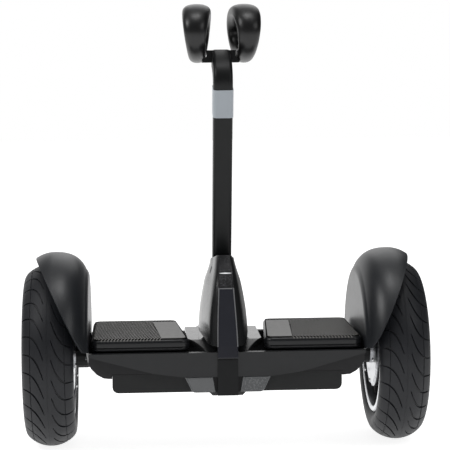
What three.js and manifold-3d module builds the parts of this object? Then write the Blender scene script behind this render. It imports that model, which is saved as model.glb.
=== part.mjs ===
// Self balancing personal transporter: two driven wheels, a standing deck between them,
// and a knee steering bar on a leaning column. Millimetres, +Z up, origin on the ground
// under the middle of the axle. The front faces -Y and the rider's right is +X.

import * as THREE from 'three';
import { mergeVertices } from 'three/addons/utils/BufferGeometryUtils.js';
import Module from 'manifold-3d';

const wasm = await Module();
wasm.setup();

// General fits
const seatGap = 0.3;
const runningGap = 0.4;
const overrun = 5;
const sheetWall = 2.5;

// Tyres and wheels
const beadRadius = 82;
const tyreDepth = 43;
const tyreRadius = beadRadius + tyreDepth;
const tyreWidth = 68.5;
const wheelSpacing = 476;
const wheelX = wheelSpacing / 2;
const tyreShoulderInset = 10.25;
const beadHalfWidth = tyreWidth / 2 - tyreShoulderInset;
const tyreWall = 5;
const flangeHeight = 5;
const flangeThickness = 4;
const barrelWall = 4;
const spokeCount = 6;
const spokeWidth = 11;
const spokeThickness = 40;
const spokePhase = THREE.MathUtils.degToRad(40);
const spokeFork = 15;
const spokeForkShare = 0.346;
const spokeCrotchShare = 0.77;
const spokeFace = 19;
const spokeReach = 30;
const motorRadius = beadRadius - spokeReach;
const motorInnerFace = 27;
const motorOuterFace = 22;
const motorWall = 4;
const magnetThickness = 3;
const airGap = 1;
const statorBore = 7;
const statorHalfWidth = 10.5;
const statorYoke = 12;
const statorTeeth = 12;
const toothWidth = 5;
const toothTip = 2.4;
const bearingRadius = 15;
const bearingWidth = 7;
const valveRadius = 3.2;
const valveLength = 20;

// Axles, each fixed in the end of the body
const axleHeight = tyreRadius;
const axleRadius = 6.5;
const axleCollar = 19;
const axleGrip = 38;
const clampLength = 27;
const clampHalfDepth = 22;

// Body. From here on, heights are measured from the axle line.
const wheelStandOff = 54;
const bodyHalfWidth = wheelX - wheelStandOff;
const bodyFront = -100;
const bodyRear = 78;
const panelDepth = 10;
const frameUnderside = -12;
const frameHeight = 25;
const frameFloor = 4;
const frameEndWall = 6;
const frameSideWall = 4;
const frameTop = frameUnderside + frameHeight;
const deckThickness = 3;
const deckTop = frameTop + deckThickness;
const panelLip = 1;
const panelTop = deckTop + panelLip;
const panelDrop = 3.5;
const panelMiddleBottom = frameUnderside - panelDrop;
const panelBendHalf = 60;
const panelShoulderHalf = 100;
const panelShoulderRise = 5.7;
const panelShoulderBottom = panelMiddleBottom + panelShoulderRise;
const wingSideDepth = 10;
const wingSideBottom = frameTop - wingSideDepth;
const wingTipInset = 28;
const wingTipHalf = bodyHalfWidth - wingTipInset;
const wingDrop = 5.5;
const wingBottom = frameUnderside - wingDrop;

// Battery case, hung under the frame
const batteryInset = 31;
const batteryHalfWidth = bodyHalfWidth - batteryInset;
const batteryDepth = 25;
const batteryBottom = frameUnderside - batteryDepth;
const batteryRear = bodyRear - frameSideWall * 2;
const batteryCorner = 8;
const batteryWall = 3;
const batteryEndWall = 12;
const cellRadius = 9.2;
const cellLength = 65;
const cellPitch = 19.6;
const cellHolderThickness = 4;

// Control board, on posts in the frame's tray
const boardInner = 42;
const boardOuterInset = 52;
const boardOuter = bodyHalfWidth - boardOuterInset;
const boardMargin = 28;
const boardFront = bodyFront + boardMargin;
const boardRear = bodyRear - boardMargin;
const boardRise = 3;
const boardThickness = 1.6;
const boardPost = 6;
const chipSide = 16;
const chipHeight = 4;
const sinkHeight = 12;

// Lamp windows, keel strip and foot in the middle
const stripHalfWidth = 13.5;
const lampTopGap = 0.7;
const lampTop = panelMiddleBottom - lampTopGap;
const lampFootRise = 0.5;
const lampBottom = batteryBottom + lampFootRise;
const lampInnerTop = 20;
const lampInnerBottom = 16.5;
const lampOuterTop = 57;
const lampOuterBottom = 49;
const lampCorner = 6;
const lampDepth = 8;
const keelDrop = 3.5;
const keelBottom = batteryBottom - keelDrop;
const keelProud = 2;
const footHalfWidth = 24;
const footDepth = 5.4;
const footBottom = batteryBottom - footDepth;
const footChamfer = 4;
const footNubRadius = 3;
const footNubHeight = 1.6;

// Fenders
const fenderCrownInset = 7;
const fenderCrownX = wheelX - fenderCrownInset;
const fenderRise = 17;
const fenderCrownRadius = tyreRadius + fenderRise;
const fenderHollowRise = 10;
const fenderHollowRadius = beadRadius + fenderHollowRise;
const fenderWall = 3;
const fenderLipReach = 18;
const fenderLipX = wheelX + fenderLipReach;
const fenderSweepAngle = 80;
const fenderEdgePower = 1.8;
const fenderFullness = 0.8;
const fenderEdgeAngle = 84;
const fenderPlateBottom = -13;
const fenderTongueHalf = 38;
const fenderScrewY = -58;
const fenderScrewHeight = 6;
const fenderScrewRadius = 2.4;
const fenderScrewHead = 4.6;
const fenderScrewHeadDepth = 2.2;
const fenderScrewLength = 7;

// Foot mats, which sink a little under the rider's weight
const matFloat = 2.2;
const matBottom = deckTop + matFloat;
const matThickness = 16.8;
const matTop = matBottom + matThickness;
const matOuterInset = 3;
const matOuter = bodyHalfWidth - matOuterInset;
const matInnerFront = 50;
const matInnerRear = 61;
const matEndInset = 1;
const matFront = bodyFront + matEndInset;
const matRear = bodyRear - matEndInset;
const matCorner = 12;
const matEdge = 4;
const domeRadius = 9;
const domeInset = 29;
const domeXs = [matInnerRear + domeInset, matOuter - domeInset];
const domeYs = [matFront + domeInset, matRear - domeInset];
const membraneThickness = 0.6;

// Steering pivot under the deck
const pivotDrop = 8;
const pivotHeight = frameUnderside - pivotDrop;
const pivotRadius = 6;
const bushingWall = 3;
const eyeRadius = 11.5;
const eyeLength = 12;
const armFront = -40;
const armRear = 30;
const armHalfWidth = 9;
const armShoulder = 5;
const armSlotHalf = 22;
const armSlotMargin = 4;
const leanLimit = THREE.MathUtils.degToRad(10);
const webThickness = 6;
const webHalfWidth = 22;
const webBottom = batteryBottom + batteryWall;
const keelRibThickness = 4;
const channelHalfWidth = webHalfWidth + keelRibThickness;
const sleeveWall = 1.8;

// Saddle of the deck, round the pivot, and the plateau on both sides of it
const saddleRadius = 55.6;
const saddleHalfWidth = 40;
const saddleTop = pivotHeight + saddleRadius;
const saddleFront = -56;
const saddleFoot = -80;
const skirtDropStart = (saddleFront + saddleFoot) / 2;
const plateauRise = 8.5;
const plateauTop = deckTop + plateauRise;
const plateauHalfWidth = 49.5;
const plateauFlare = 2.5;
const plateauShoulder = -35;
const plateauRearRun = 6;
const prowHalfWidth = 26;
const prowInset = 2;
const prowRise = 1.5;
const rampRear = -40;
const deckSlotRear = 60;

// Column, which leans with the steering bar
const columnRise = 9;
const columnFoot = deckTop + columnRise;
const columnHeight = 114;
const columnTop = columnFoot + columnHeight;
const columnHalfWidth = 33.4;
const columnStandOff = 4;
const columnFrontReach = panelDepth + columnStandOff - bodyFront;
const columnRearReach = 70;
const columnWall = 1.8;
const columnTopDrop = 14;
const skirtGap = 1;
const skirtRadius = saddleRadius + skirtGap;
const coverLift = 2.5;
const coverFoot = columnFoot + coverLift;
const cheekDepth = 26;
const apronDrop = 15;
const apronBottom = columnFoot - apronDrop;
const apronBendDrop = 5;
const apronBend = columnFoot - apronBendDrop;
const gripLength = 39;
const gripBottom = columnTop - gripLength;
const rearStripHalfWidth = 11;
const slitDrop = 21;
const slitHeight = columnTop - slitDrop;
const slitHalfWidth = 8;
const slitTall = 3.2;
const powerButtonRise = 28;
const powerButtonHeight = columnFoot + powerButtonRise;
const powerButtonRadius = 8;
const powerButtonProud = 0.6;
const displayGap = 6;
const displayLength = 26;
const displayHalfWidth = 8;
const displayHeight = powerButtonHeight + powerButtonRadius + displayGap + displayLength / 2;
const releaseDrop = 21;
const releaseHeight = columnTop - releaseDrop;
const releaseY = -29;
const releaseRadius = 4.5;
const releaseProud = 0.4;
const releaseLength = 4.1;

// Each row: share of the column's height, of its half width, of its front and of its rear reach,
// and of the half width of its front strip
const columnShares = [
  [0.00, 1.00, 1.00, 1.00, 1.00],
  [0.11, 0.99, 0.96, 0.965, 0.985],
  [0.35, 0.916, 0.868, 0.87, 0.90],
  [0.65, 0.734, 0.754, 0.74, 0.755],
  [0.83, 0.581, 0.632, 0.64, 0.685],
  [0.94, 0.50, 0.48, 0.57, 0.62],
  [1.00, 0.475, 0.37, 0.54, 0.53],
];

// Shares of the side cover's half width at the cheek, side and rear, of its rounding, and of the
// column's height where its rows start to tip back
const cheekShare = 0.55;
const sideShare = 0.95;
const rearCornerShare = 0.95;
const roundShare = 0.25;
const tipShare = 0.65;

// Steering bar
const stemHalfWidth = 13;
const stemHalfDepth = 14;
const stemCorner = 5;
const stemWall = 2.2;
const stemLean = THREE.MathUtils.degToRad(16.1);
const stemEntryY = 14.4;
const stemDepth = 82;
const stemBottom = columnTop - stemDepth;
const stemStraight = 229;
const stemBendHeight = columnTop + stemStraight;
const stemBendRise = 36;
const stemTop = stemBendHeight + stemBendRise;
const stemTopY = -12;
const stemBendShare = 0.62;
const socketWall = 2;
const socketFloor = 6;
const socketBottom = stemBottom - socketFloor;
const socketLength = 56;
const socketTop = socketBottom + socketLength;
const labelDrop = 2;
const labelTop = stemBendHeight - labelDrop;
const labelHeight = 37;
const labelBottom = labelTop - labelHeight;
const labelThickness = 0.6;
const headHalfWidth = 25;
const headFront = -14;
const headRear = 22;
const headGrip = 4;
const headBottom = stemTop - headGrip;
const headHeight = 16.5;
const headTop = headBottom + headHeight;

// Knee pads
const padLoopHalfHeight = 29.5;
const padLoopHalfDepth = 46;
const padThickness = 10.5;
const padSeatDepth = 17;
const padCentreHeight = headTop + padLoopHalfHeight + padThickness - padSeatDepth;
const padHalfWidthTop = 19.2;
const padHalfWidthBottom = 11.5;
const padFrontX = 36;
const padRearX = 23;

// Charging socket in the rear panel
const chargeX = 72;
const chargeDrop = 14;
const chargeHeight = panelTop - chargeDrop;
const chargeRadius = 9;
const chargeWall = 2;
const chargeDepth = 9.4;
const chargeCapRadius = 12;
const chargeCapThickness = 2.4;
const chargeHingeRadius = 1.8;
const chargePlugLength = 1;

// Counts of facets
const wheelSides = 32;
const rodSides = 16;
const screwSides = 8;
const cellSides = 6;
const fenderSteps = 16;
const fenderSectionSteps = 7;
const padSteps = 22;
const padSides = 10;
const stemBendSteps = 8;
const cornerSteps = 4;
const saddleSteps = 8;

// Colours and finishes
function finish(color, roughness, metalness) {
  return new THREE.MeshStandardMaterial({ color, roughness, metalness });
}

const finishes = {
  satinBlack: () => finish(0x232529, 0.45, 0),
  mattBlack: () => finish(0x17181a, 0.75, 0),
  fenderGrey: () => finish(0x2c2f33, 0.5, 0),
  glossBlack: () => finish(0x0d0f14, 0.12, 0),
  castAlloy: () => finish(0x3a3c3f, 0.55, 0.8),
  rimAlloy: () => finish(0x9fa3a8, 0.35, 0.9),
  steel: () => finish(0xb4b6b8, 0.3, 1),
  rubber: () => finish(0x1d1f20, 0.85, 0),
  softRubber: () => finish(0x101112, 0.6, 0),
  lamp: () => finish(0x777b80, 0.15, 0),
  redLamp: () => finish(0x5a1416, 0.2, 0),
  whiteLamp: () => finish(0xf2f5f8, 0.2, 0),
  label: () => finish(0xe8eaec, 0.5, 0),
  cells: () => finish(0x3f6ea5, 0.5, 0),
  board: () => finish(0x1f5a37, 0.6, 0),
  copper: () => finish(0xa8672f, 0.4, 1),
};

// Geometry helpers

// Turns the faces of a closed geometry outwards, whichever way its outline ran.
function faceOut(geometry) {
  const place = geometry.attributes.position;
  const index = geometry.index.array;
  const [a, b, c] = [new THREE.Vector3(), new THREE.Vector3(), new THREE.Vector3()];
  let volume = 0;
  for (let i = 0; i < index.length; i += 3) {
    a.fromBufferAttribute(place, index[i]);
    b.fromBufferAttribute(place, index[i + 1]);
    c.fromBufferAttribute(place, index[i + 2]);
    volume += a.dot(b.cross(c));
  }
  if (volume < 0) {
    for (let i = 0; i < index.length; i += 3) {
      const first = index[i];
      index[i] = index[i + 1];
      index[i + 1] = first;
    }
  }
  return geometry;
}

function solidOf(geometry) {
  const plain = geometry.clone();
  plain.deleteAttribute('normal');
  plain.deleteAttribute('uv');
  const merged = faceOut(mergeVertices(plain));
  const vertProperties = merged.attributes.position.array;
  const triVerts = new Uint32Array(merged.index.array);
  return new wasm.Manifold(new wasm.Mesh({ numProp: 3, vertProperties, triVerts }));
}

function geometryOf(solid) {
  const mesh = solid.getMesh();
  const geometry = new THREE.BufferGeometry();
  geometry.setAttribute('position', new THREE.BufferAttribute(mesh.vertProperties, 3));
  geometry.setIndex(new THREE.BufferAttribute(mesh.triVerts, 1));
  return geometry;
}

function join(...solids) {
  return solids.reduce((all, next) => all.add(next));
}

function cut(base, ...tools) {
  return tools.reduce((all, next) => all.subtract(next), base);
}

function outline(points) {
  return new THREE.Shape(points.map(([a, b]) => new THREE.Vector2(a, b)));
}

function extruded(points, depth) {
  return new THREE.ExtrudeGeometry(outline(points), { depth, bevelEnabled: false, steps: 1 });
}

// Outline in (y, z), pushed along X.
function slabX(points, fromX, toX) {
  const turn = new THREE.Matrix4().makeBasis(
    new THREE.Vector3(0, 1, 0),
    new THREE.Vector3(0, 0, 1),
    new THREE.Vector3(1, 0, 0),
  );
  return solidOf(extruded(points, toX - fromX).applyMatrix4(turn).translate(fromX, 0, 0));
}

// Outline in (x, z), pushed along Y.
function slabY(points, fromY, toY) {
  return solidOf(extruded(points, toY - fromY).rotateX(Math.PI / 2).translate(0, toY, 0));
}

function box([x0, x1], [y0, y1], [z0, z1]) {
  const geometry = new THREE.BoxGeometry(x1 - x0, y1 - y0, z1 - z0);
  return solidOf(geometry.translate((x0 + x1) / 2, (y0 + y1) / 2, (z0 + z1) / 2));
}

function rod(radius, length, sides) {
  return new THREE.CylinderGeometry(radius, radius, length, sides);
}

function rodX(radius, x0, x1, y, z, sides = rodSides) {
  return solidOf(rod(radius, x1 - x0, sides).rotateZ(-Math.PI / 2).translate((x0 + x1) / 2, y, z));
}

function rodY(radius, y0, y1, x, z, sides = rodSides) {
  return solidOf(rod(radius, y1 - y0, sides).translate(x, (y0 + y1) / 2, z));
}

function rodZ(radius, z0, z1, x, y, sides = rodSides) {
  return solidOf(rod(radius, z1 - z0, sides).rotateX(Math.PI / 2).translate(x, y, (z0 + z1) / 2));
}

// Closed profile of [radius, x] pairs, turned about the X axis.
function turned(profile, sides = wheelSides) {
  const closed = [...profile, profile[0]].map(([radius, x]) => new THREE.Vector2(radius, x));
  const turn = new THREE.Matrix4().makeBasis(
    new THREE.Vector3(0, 0, 1),
    new THREE.Vector3(1, 0, 0),
    new THREE.Vector3(0, 1, 0),
  );
  return solidOf(new THREE.LatheGeometry(closed, sides).applyMatrix4(turn));
}

// Flat ring about the X axis.
function ring(inner, outer, x0, x1, sides = wheelSides) {
  return turned([[inner, x0], [outer, x0], [outer, x1], [inner, x1]], sides);
}

// Skins a row of rings of points. An open row gets a fan at each end; a closed one joins up.
function loft(rings, closed = false) {
  const count = rings[0].length;
  const places = [];
  const faces = [];
  rings.forEach((points) => points.forEach((p) => places.push(p.x, p.y, p.z)));
  const last = closed ? rings.length : rings.length - 1;
  for (let r = 0; r < last; r += 1) {
    const here = r * count;
    const there = ((r + 1) % rings.length) * count;
    for (let i = 0; i < count; i += 1) {
      const next = (i + 1) % count;
      faces.push(here + i, here + next, there + next, here + i, there + next, there + i);
    }
  }
  if (!closed) {
    const end = (rings.length - 1) * count;
    for (let i = 1; i < count - 1; i += 1) {
      faces.push(0, i + 1, i, end, end + i, end + i + 1);
    }
  }
  return skin(places, faces);
}

function skin(places, faces) {
  const geometry = new THREE.BufferGeometry();
  geometry.setAttribute('position', new THREE.BufferAttribute(new Float32Array(places), 3));
  geometry.setIndex(faces);
  return solidOf(geometry);
}

// A sheet with thickness: two grids of points, outside and inside, closed round their edges.
function sheet(outside, inside) {
  const rows = outside.length;
  const columns = outside[0].length;
  const places = [];
  const faces = [];
  [outside, inside].forEach((grid) => grid.flat().forEach((p) => places.push(p.x, p.y, p.z)));
  const at = (side, row, column) => (side * rows + row) * columns + column;
  for (let r = 0; r < rows - 1; r += 1) {
    for (let c = 0; c < columns - 1; c += 1) {
      const [a, b, d, e] = [at(0, r, c), at(0, r, c + 1), at(0, r + 1, c + 1), at(0, r + 1, c)];
      const [f, g, h, i] = [at(1, r, c), at(1, r, c + 1), at(1, r + 1, c + 1), at(1, r + 1, c)];
      faces.push(a, b, d, a, d, e, f, h, g, f, i, h);
    }
  }
  const border = [];
  for (let c = 0; c < columns - 1; c += 1) border.push([0, c]);
  for (let r = 0; r < rows - 1; r += 1) border.push([r, columns - 1]);
  for (let c = columns - 1; c > 0; c -= 1) border.push([rows - 1, c]);
  for (let r = rows - 1; r > 0; r -= 1) border.push([r, 0]);
  border.forEach(([row, column], i) => {
    const [nextRow, nextColumn] = border[(i + 1) % border.length];
    const [a, b] = [at(0, row, column), at(0, nextRow, nextColumn)];
    const [f, g] = [at(1, row, column), at(1, nextRow, nextColumn)];
    faces.push(a, f, g, a, g, b);
  });
  return skin(places, faces);
}

function arc(centreA, centreB, radius, from, to, steps) {
  return Array.from({ length: steps + 1 }, (_, i) => {
    const angle = THREE.MathUtils.degToRad(from + ((to - from) * i) / steps);
    return [centreA + radius * Math.cos(angle), centreB + radius * Math.sin(angle)];
  });
}

function mirroredOutline(half) {
  const other = half.map(([a, b]) => [-a, b]).reverse();
  return [...half, ...other];
}

function piece(name, solid, look) {
  const mesh = new THREE.Mesh(geometryOf(solid), finishes[look]());
  mesh.name = name;
  return mesh;
}

// Wheels, turned about X, with the outer side towards +X

function tyre() {
  const half = tyreWidth / 2;
  const bead = beadRadius + seatGap;
  const shoulder = beadRadius + flangeHeight + 2 * seatGap;
  const height = tyreRadius - shoulder;
  const outerShares = [
    [0.92, 0.14], [1.00, 0.38], [0.94, 0.585], [0.79, 0.735], [0.57, 0.87], [0.30, 0.962],
  ];
  const hollowShares = [[0.80, 0.34], [0.72, 0.68], [0.45, 0.84]];
  const wall = outerShares.map(([across, up]) => [shoulder + height * up, half * across]);
  const inside = hollowShares.map(([across, up]) => [shoulder + height * up, half * across]);
  const side = [
    [bead, beadHalfWidth - tyreWall], [bead, beadHalfWidth], [shoulder, beadHalfWidth],
    ...wall, [tyreRadius, half / 12],
  ];
  const flip = ([radius, x]) => [radius, -x];
  return turned([...side, ...side.map(flip).reverse(), ...inside.map(flip), ...inside.reverse()]);
}

function rimBarrel() {
  const inner = beadRadius - barrelWall;
  const seat = beadHalfWidth + seatGap;
  const edge = seat + flangeThickness;
  const lip = beadRadius + flangeHeight;
  return turned([
    [inner, -edge], [lip, -edge], [lip, -seat], [beadRadius, -seat],
    [beadRadius, seat], [lip, seat], [lip, edge], [inner, edge],
  ]);
}

function spoke(index) {
  const start = motorRadius - motorWall;
  const end = beadRadius - (barrelWall * 3) / 4;
  const half = spokeWidth / 2;
  const reach = beadRadius - barrelWall - motorRadius;
  const fork = motorRadius + reach * spokeForkShare;
  const crotch = motorRadius + reach * spokeCrotchShare;
  const points = [
    [half, start], [half, fork], [spokeFork + half, end], [spokeFork - half, end], [0, crotch],
    [-spokeFork + half, end], [-spokeFork - half, end], [-half, fork], [-half, start],
  ];
  const solid = slabX(points, spokeFace - spokeThickness, spokeFace);
  const geometry = geometryOf(solid).rotateX(spokePhase + (index * 2 * Math.PI) / spokeCount);
  return solidOf(geometry);
}

function rim() {
  const shellEnd = motorOuterFace;
  const inside = shellEnd - motorWall;
  const bore = axleRadius + runningGap;
  const can = rodX(motorRadius, -motorInnerFace, shellEnd, 0, 0, wheelSides);
  const hollow = rodX(motorRadius - motorWall, -motorInnerFace - overrun, inside, 0, 0, wheelSides);
  const boss = rodX(bore + motorWall, inside - bearingWidth, inside + seatGap, 0, 0);
  const blindBore = rodX(bore, inside - bearingWidth - overrun, inside, 0, 0);
  const shell = cut(join(cut(can, hollow), boss), blindBore);
  const spokes = Array.from({ length: spokeCount }, (_, i) => spoke(i));
  const valveHole = rodZ(
    valveRadius + seatGap,
    beadRadius - barrelWall - overrun,
    beadRadius + overrun,
    0,
    0,
    screwSides,
  );
  return cut(join(rimBarrel(), shell, ...spokes), turnedToValve(valveHole));
}

// The valve sits half way between two spokes.
function turnedToValve(solid) {
  return solidOf(geometryOf(solid).rotateX(spokePhase + Math.PI / spokeCount));
}

function valve() {
  const stem = rodZ(valveRadius, beadRadius - valveLength, beadRadius, 0, 0, screwSides);
  const headBase = beadRadius + seatGap;
  const head = rodZ(valveRadius * 2, headBase, headBase + valveRadius, 0, 0, screwSides);
  const neck = rodZ(valveRadius, beadRadius - seatGap, beadRadius + valveRadius, 0, 0, screwSides);
  return turnedToValve(join(stem, neck, head));
}

function motorCover() {
  const outer = -motorInnerFace - seatGap;
  const seat = bearingRadius + seatGap;
  const hub = seat + motorWall;
  return turned([
    [seat, outer], [motorRadius, outer], [motorRadius, outer - motorWall / 2],
    [motorRadius - motorWall, outer - motorWall], [hub, outer - motorWall],
    [hub, outer - bearingWidth], [seat, outer - bearingWidth],
  ]);
}

function magnetRing() {
  const outer = motorRadius - motorWall - seatGap;
  return ring(outer - magnetThickness, outer, -statorHalfWidth, statorHalfWidth);
}

function wheelBearing() {
  const coverFace = -motorInnerFace - seatGap;
  return ring(axleRadius + runningGap, bearingRadius, coverFace - bearingWidth, coverFace, rodSides);
}

function stator() {
  const outer = motorRadius - motorWall - seatGap - magnetThickness - airGap;
  const core = statorBore + seatGap;
  const coreRing = ring(core, core + statorYoke, -statorHalfWidth, statorHalfWidth, statorTeeth * 2);
  const teeth = Array.from({ length: statorTeeth }, (_, i) => {
    const stem = box(
      [-statorHalfWidth, statorHalfWidth],
      [-toothWidth / 2, toothWidth / 2],
      [core + statorYoke - toothWidth, outer - toothTip],
    );
    const tip = box(
      [-statorHalfWidth, statorHalfWidth],
      [-toothWidth, toothWidth],
      [outer - 2 * toothTip, outer - toothTip / 2],
    );
    return solidOf(geometryOf(join(stem, tip)).rotateX((i * 2 * Math.PI) / statorTeeth));
  });
  return join(coreRing, ...teeth);
}

// Axle in the body's frame, for the right side
function axle() {
  const shellFace = wheelX + motorOuterFace - motorWall - seatGap;
  const shaft = rodX(axleRadius, bodyHalfWidth - axleGrip, shellFace, 0, 0);
  const collarEnd = wheelX - motorInnerFace - bearingWidth - 2 * seatGap;
  const collar = rodX(axleCollar, bodyHalfWidth + fenderWall + seatGap, collarEnd, 0, 0);
  const seat = rodX(statorBore, wheelX - statorHalfWidth, wheelX + statorHalfWidth, 0, 0);
  return join(shaft, collar, seat);
}

function axleClamp() {
  const end = bodyHalfWidth - seatGap - frameEndWall - seatGap;
  const bottom = frameUnderside + frameFloor + seatGap;
  const start = end - clampLength;
  const block = box([start, end], [-clampHalfDepth, clampHalfDepth], [bottom, frameTop - seatGap]);
  return cut(block, rodX(axleRadius + seatGap, start - overrun, end + overrun, 0, 0));
}

// Fenders

// Where the open outer edge of the fender lies, at an angle from the top.
function fenderEdgeX(angle) {
  const share = Math.abs(angle) / fenderEdgeAngle;
  return fenderLipX - (fenderLipX - bodyHalfWidth) * share ** fenderEdgePower;
}

function fenderGrid(inset) {
  const across = fenderCrownX - bodyHalfWidth;
  const rise = fenderCrownRadius - fenderHollowRadius;
  return Array.from({ length: fenderSteps + 1 }, (_, row) => {
    const angle = fenderSweepAngle * ((2 * row) / fenderSteps - 1);
    const edgeShare = (fenderCrownX - fenderEdgeX(angle)) / across;
    const end = Math.acos(edgeShare > 0 ? edgeShare ** (1 / fenderFullness) : edgeShare);
    return Array.from({ length: fenderSectionSteps + 1 }, (_, column) => {
      const bend = (end * column) / fenderSectionSteps;
      const fullness = bend < Math.PI / 2 ? fenderFullness : 1;
      const radius = fenderHollowRadius + (rise - inset) * Math.sin(bend) ** fullness;
      const turn = THREE.MathUtils.degToRad(angle);
      const out = Math.sign(Math.cos(bend)) * Math.abs(Math.cos(bend)) ** fullness;
      return new THREE.Vector3(
        fenderCrownX - (across - inset) * out,
        -radius * Math.sin(turn),
        radius * Math.cos(turn),
      );
    });
  });
}

function fender() {
  const arch = sheet(fenderGrid(0), fenderGrid(fenderWall));
  const plateRadius = fenderHollowRadius + seatGap;
  const [from, to] = [90 - fenderSweepAngle, 90 + fenderSweepAngle];
  const top = arc(0, 0, plateRadius, from, to, fenderSteps);
  const tongue = [[-fenderTongueHalf, fenderPlateBottom], [fenderTongueHalf, fenderPlateBottom]];
  const plate = slabX([...top, ...tongue], bodyHalfWidth, bodyHalfWidth + fenderWall);
  const start = bodyHalfWidth - overrun;
  const end = bodyHalfWidth + fenderWall + overrun;
  const axleHole = rodX(axleRadius + runningGap, start, end, 0, 0);
  return cut(join(arch, plate), axleHole, fenderScrewHole(start, end));
}

function fenderScrewHole(fromX, toX) {
  return rodX(fenderScrewRadius + seatGap, fromX, toX, fenderScrewY, fenderScrewHeight, screwSides);
}

function fenderScrew() {
  const seat = bodyHalfWidth + fenderWall + seatGap;
  const [y, z] = [fenderScrewY, fenderScrewHeight];
  const face = seat + fenderScrewHeadDepth;
  const shank = rodX(fenderScrewRadius, seat - fenderScrewLength, face, y, z, screwSides);
  const head = rodX(fenderScrewHead, seat, face, y, z, screwSides);
  return join(shank, head);
}

// Body

function frameOutline() {
  const side = bodyHalfWidth - seatGap;
  const inner = batteryHalfWidth + seatGap;
  const bellyShares = [[0.90, 0.32], [0.62, 0.72], [0.30, 0.96]];
  const belly = bellyShares.map(([across, down]) => [
    wingTipHalf + (side - wingTipHalf) * across,
    wingSideBottom - (wingSideBottom - wingBottom) * down,
  ]);
  return mirroredOutline([
    [side, frameTop - seatGap], [side, wingSideBottom], ...belly, [wingTipHalf, wingBottom],
    [inner, wingBottom], [inner, frameUnderside + seatGap],
  ].reverse());
}

function chassisFrame() {
  const block = slabY(frameOutline(), bodyFront, bodyRear);
  const side = bodyHalfWidth - seatGap - frameEndWall;
  const floor = frameUnderside + frameFloor;
  const pocket = box(
    [-side, side],
    [bodyFront + frameSideWall, bodyRear - frameSideWall],
    [floor, frameTop + overrun],
  );
  const ribs = [-1, 1].map((sign) => {
    const near = sign * (armSlotHalf + keelRibThickness);
    const far = near + sign * keelRibThickness;
    return box(
      [Math.min(near, far), Math.max(near, far)],
      [bodyFront, bodyRear],
      [floor - seatGap, frameTop - seatGap],
    );
  });
  const slotFront = armFront - armSlotMargin;
  const slotRear = armRear + armSlotMargin;
  const slot = box(
    [-armSlotHalf, armSlotHalf],
    [slotFront, slotRear],
    [webBottom - overrun, floor + overrun],
  );
  const webs = [[slotFront - webThickness, slotFront], [slotRear, slotRear + webThickness]].map((span) => (
    box([-webHalfWidth, webHalfWidth], span, [webBottom, floor])
  ));
  const holes = [
    fenderScrewHole(side - overrun, bodyHalfWidth + overrun),
    fenderScrewHole(-bodyHalfWidth - overrun, -side + overrun),
    rodX(axleRadius + seatGap, side - overrun, bodyHalfWidth + overrun, 0, 0),
    rodX(axleRadius + seatGap, -bodyHalfWidth - overrun, -side + overrun, 0, 0),
    rodY(pivotRadius + seatGap, slotFront - 2 * webThickness, slotRear + 2 * webThickness, 0, pivotHeight),
  ];
  return cut(join(cut(block, pocket), ...ribs, ...webs), slot, ...holes);
}

// Plan of the plateau at a height: straight sides, with a prow that narrows to the front.
function plateauRing(z, inset) {
  const prow = bodyFront + prowInset;
  const half = plateauHalfWidth + plateauFlare - inset;
  const right = [[prowHalfWidth - inset, prow], [half, plateauShoulder], [half, bodyRear]];
  return mirroredOutline(right).map(([x, y]) => new THREE.Vector3(x, y, z));
}

function plateauBlock() {
  const bulk = loft([plateauRing(frameTop, 0), plateauRing(plateauTop, plateauFlare)]);
  const reach = plateauHalfWidth + plateauFlare + overrun;
  const ramp = slabX([
    [bodyFront, frameTop], [bodyFront, deckTop + prowRise], [rampRear, plateauTop],
    [bodyRear - plateauRearRun, plateauTop], [bodyRear, deckTop], [bodyRear, frameTop],
  ], -reach, reach);
  return bulk.intersect(ramp);
}

// The saddle is a round ridge about the pivot, so the leaning column clears it at every angle.
function deckCover() {
  const side = bodyHalfWidth - seatGap;
  const plate = box([-side, side], [bodyFront, bodyRear], [frameTop, deckTop]);
  const edge = Math.acos(saddleHalfWidth / saddleRadius) * THREE.MathUtils.RAD2DEG;
  const ridge = arc(0, pivotHeight, saddleRadius, 90, edge, saddleSteps);
  const hump = mirroredOutline([...ridge.slice(1), [saddleHalfWidth, frameTop]]);
  const profile = [
    [bodyFront, frameTop], [bodyFront, deckTop], [saddleFoot, deckTop], [saddleFront, saddleTop],
    [bodyRear - plateauRearRun, saddleTop], [bodyRear, plateauTop], [bodyRear, frameTop],
  ];
  const reach = saddleHalfWidth + overrun;
  const saddle = slabY(hump, bodyFront, bodyRear).intersect(slabX(profile, -reach, reach));
  const slot = box(
    [-armSlotHalf, armSlotHalf],
    [armFront - armSlotMargin, deckSlotRear],
    [frameTop - overrun, saddleTop + overrun],
  );
  return cut(join(plate, plateauBlock(), saddle), slot);
}

function panelOutline(inset) {
  const side = bodyHalfWidth - seatGap - inset;
  return mirroredOutline([
    [panelBendHalf, panelMiddleBottom + inset],
    [panelShoulderHalf, panelShoulderBottom + inset],
    [side, frameTop + inset / 2],
    [side, panelTop - inset],
  ]);
}

// Shallow tray with its rim towards the frame; sign is -1 at the front and 1 at the rear.
function endPanel(sign) {
  const seat = sign < 0 ? bodyFront - seatGap : bodyRear + seatGap;
  const face = sign < 0 ? bodyFront - panelDepth : bodyRear + panelDepth;
  const back = face - sign * sheetWall;
  const tray = slabY(panelOutline(0), Math.min(seat, face), Math.max(seat, face));
  const beyond = seat - sign * overrun;
  const hollow = slabY(panelOutline(sheetWall), Math.min(beyond, back), Math.max(beyond, back));
  return cut(tray, hollow);
}

function rearPanel() {
  const end = bodyRear + panelDepth + overrun;
  const hole = rodY(chargeRadius + seatGap, bodyRear, end, chargeX, chargeHeight);
  return cut(endPanel(1), hole);
}

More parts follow.
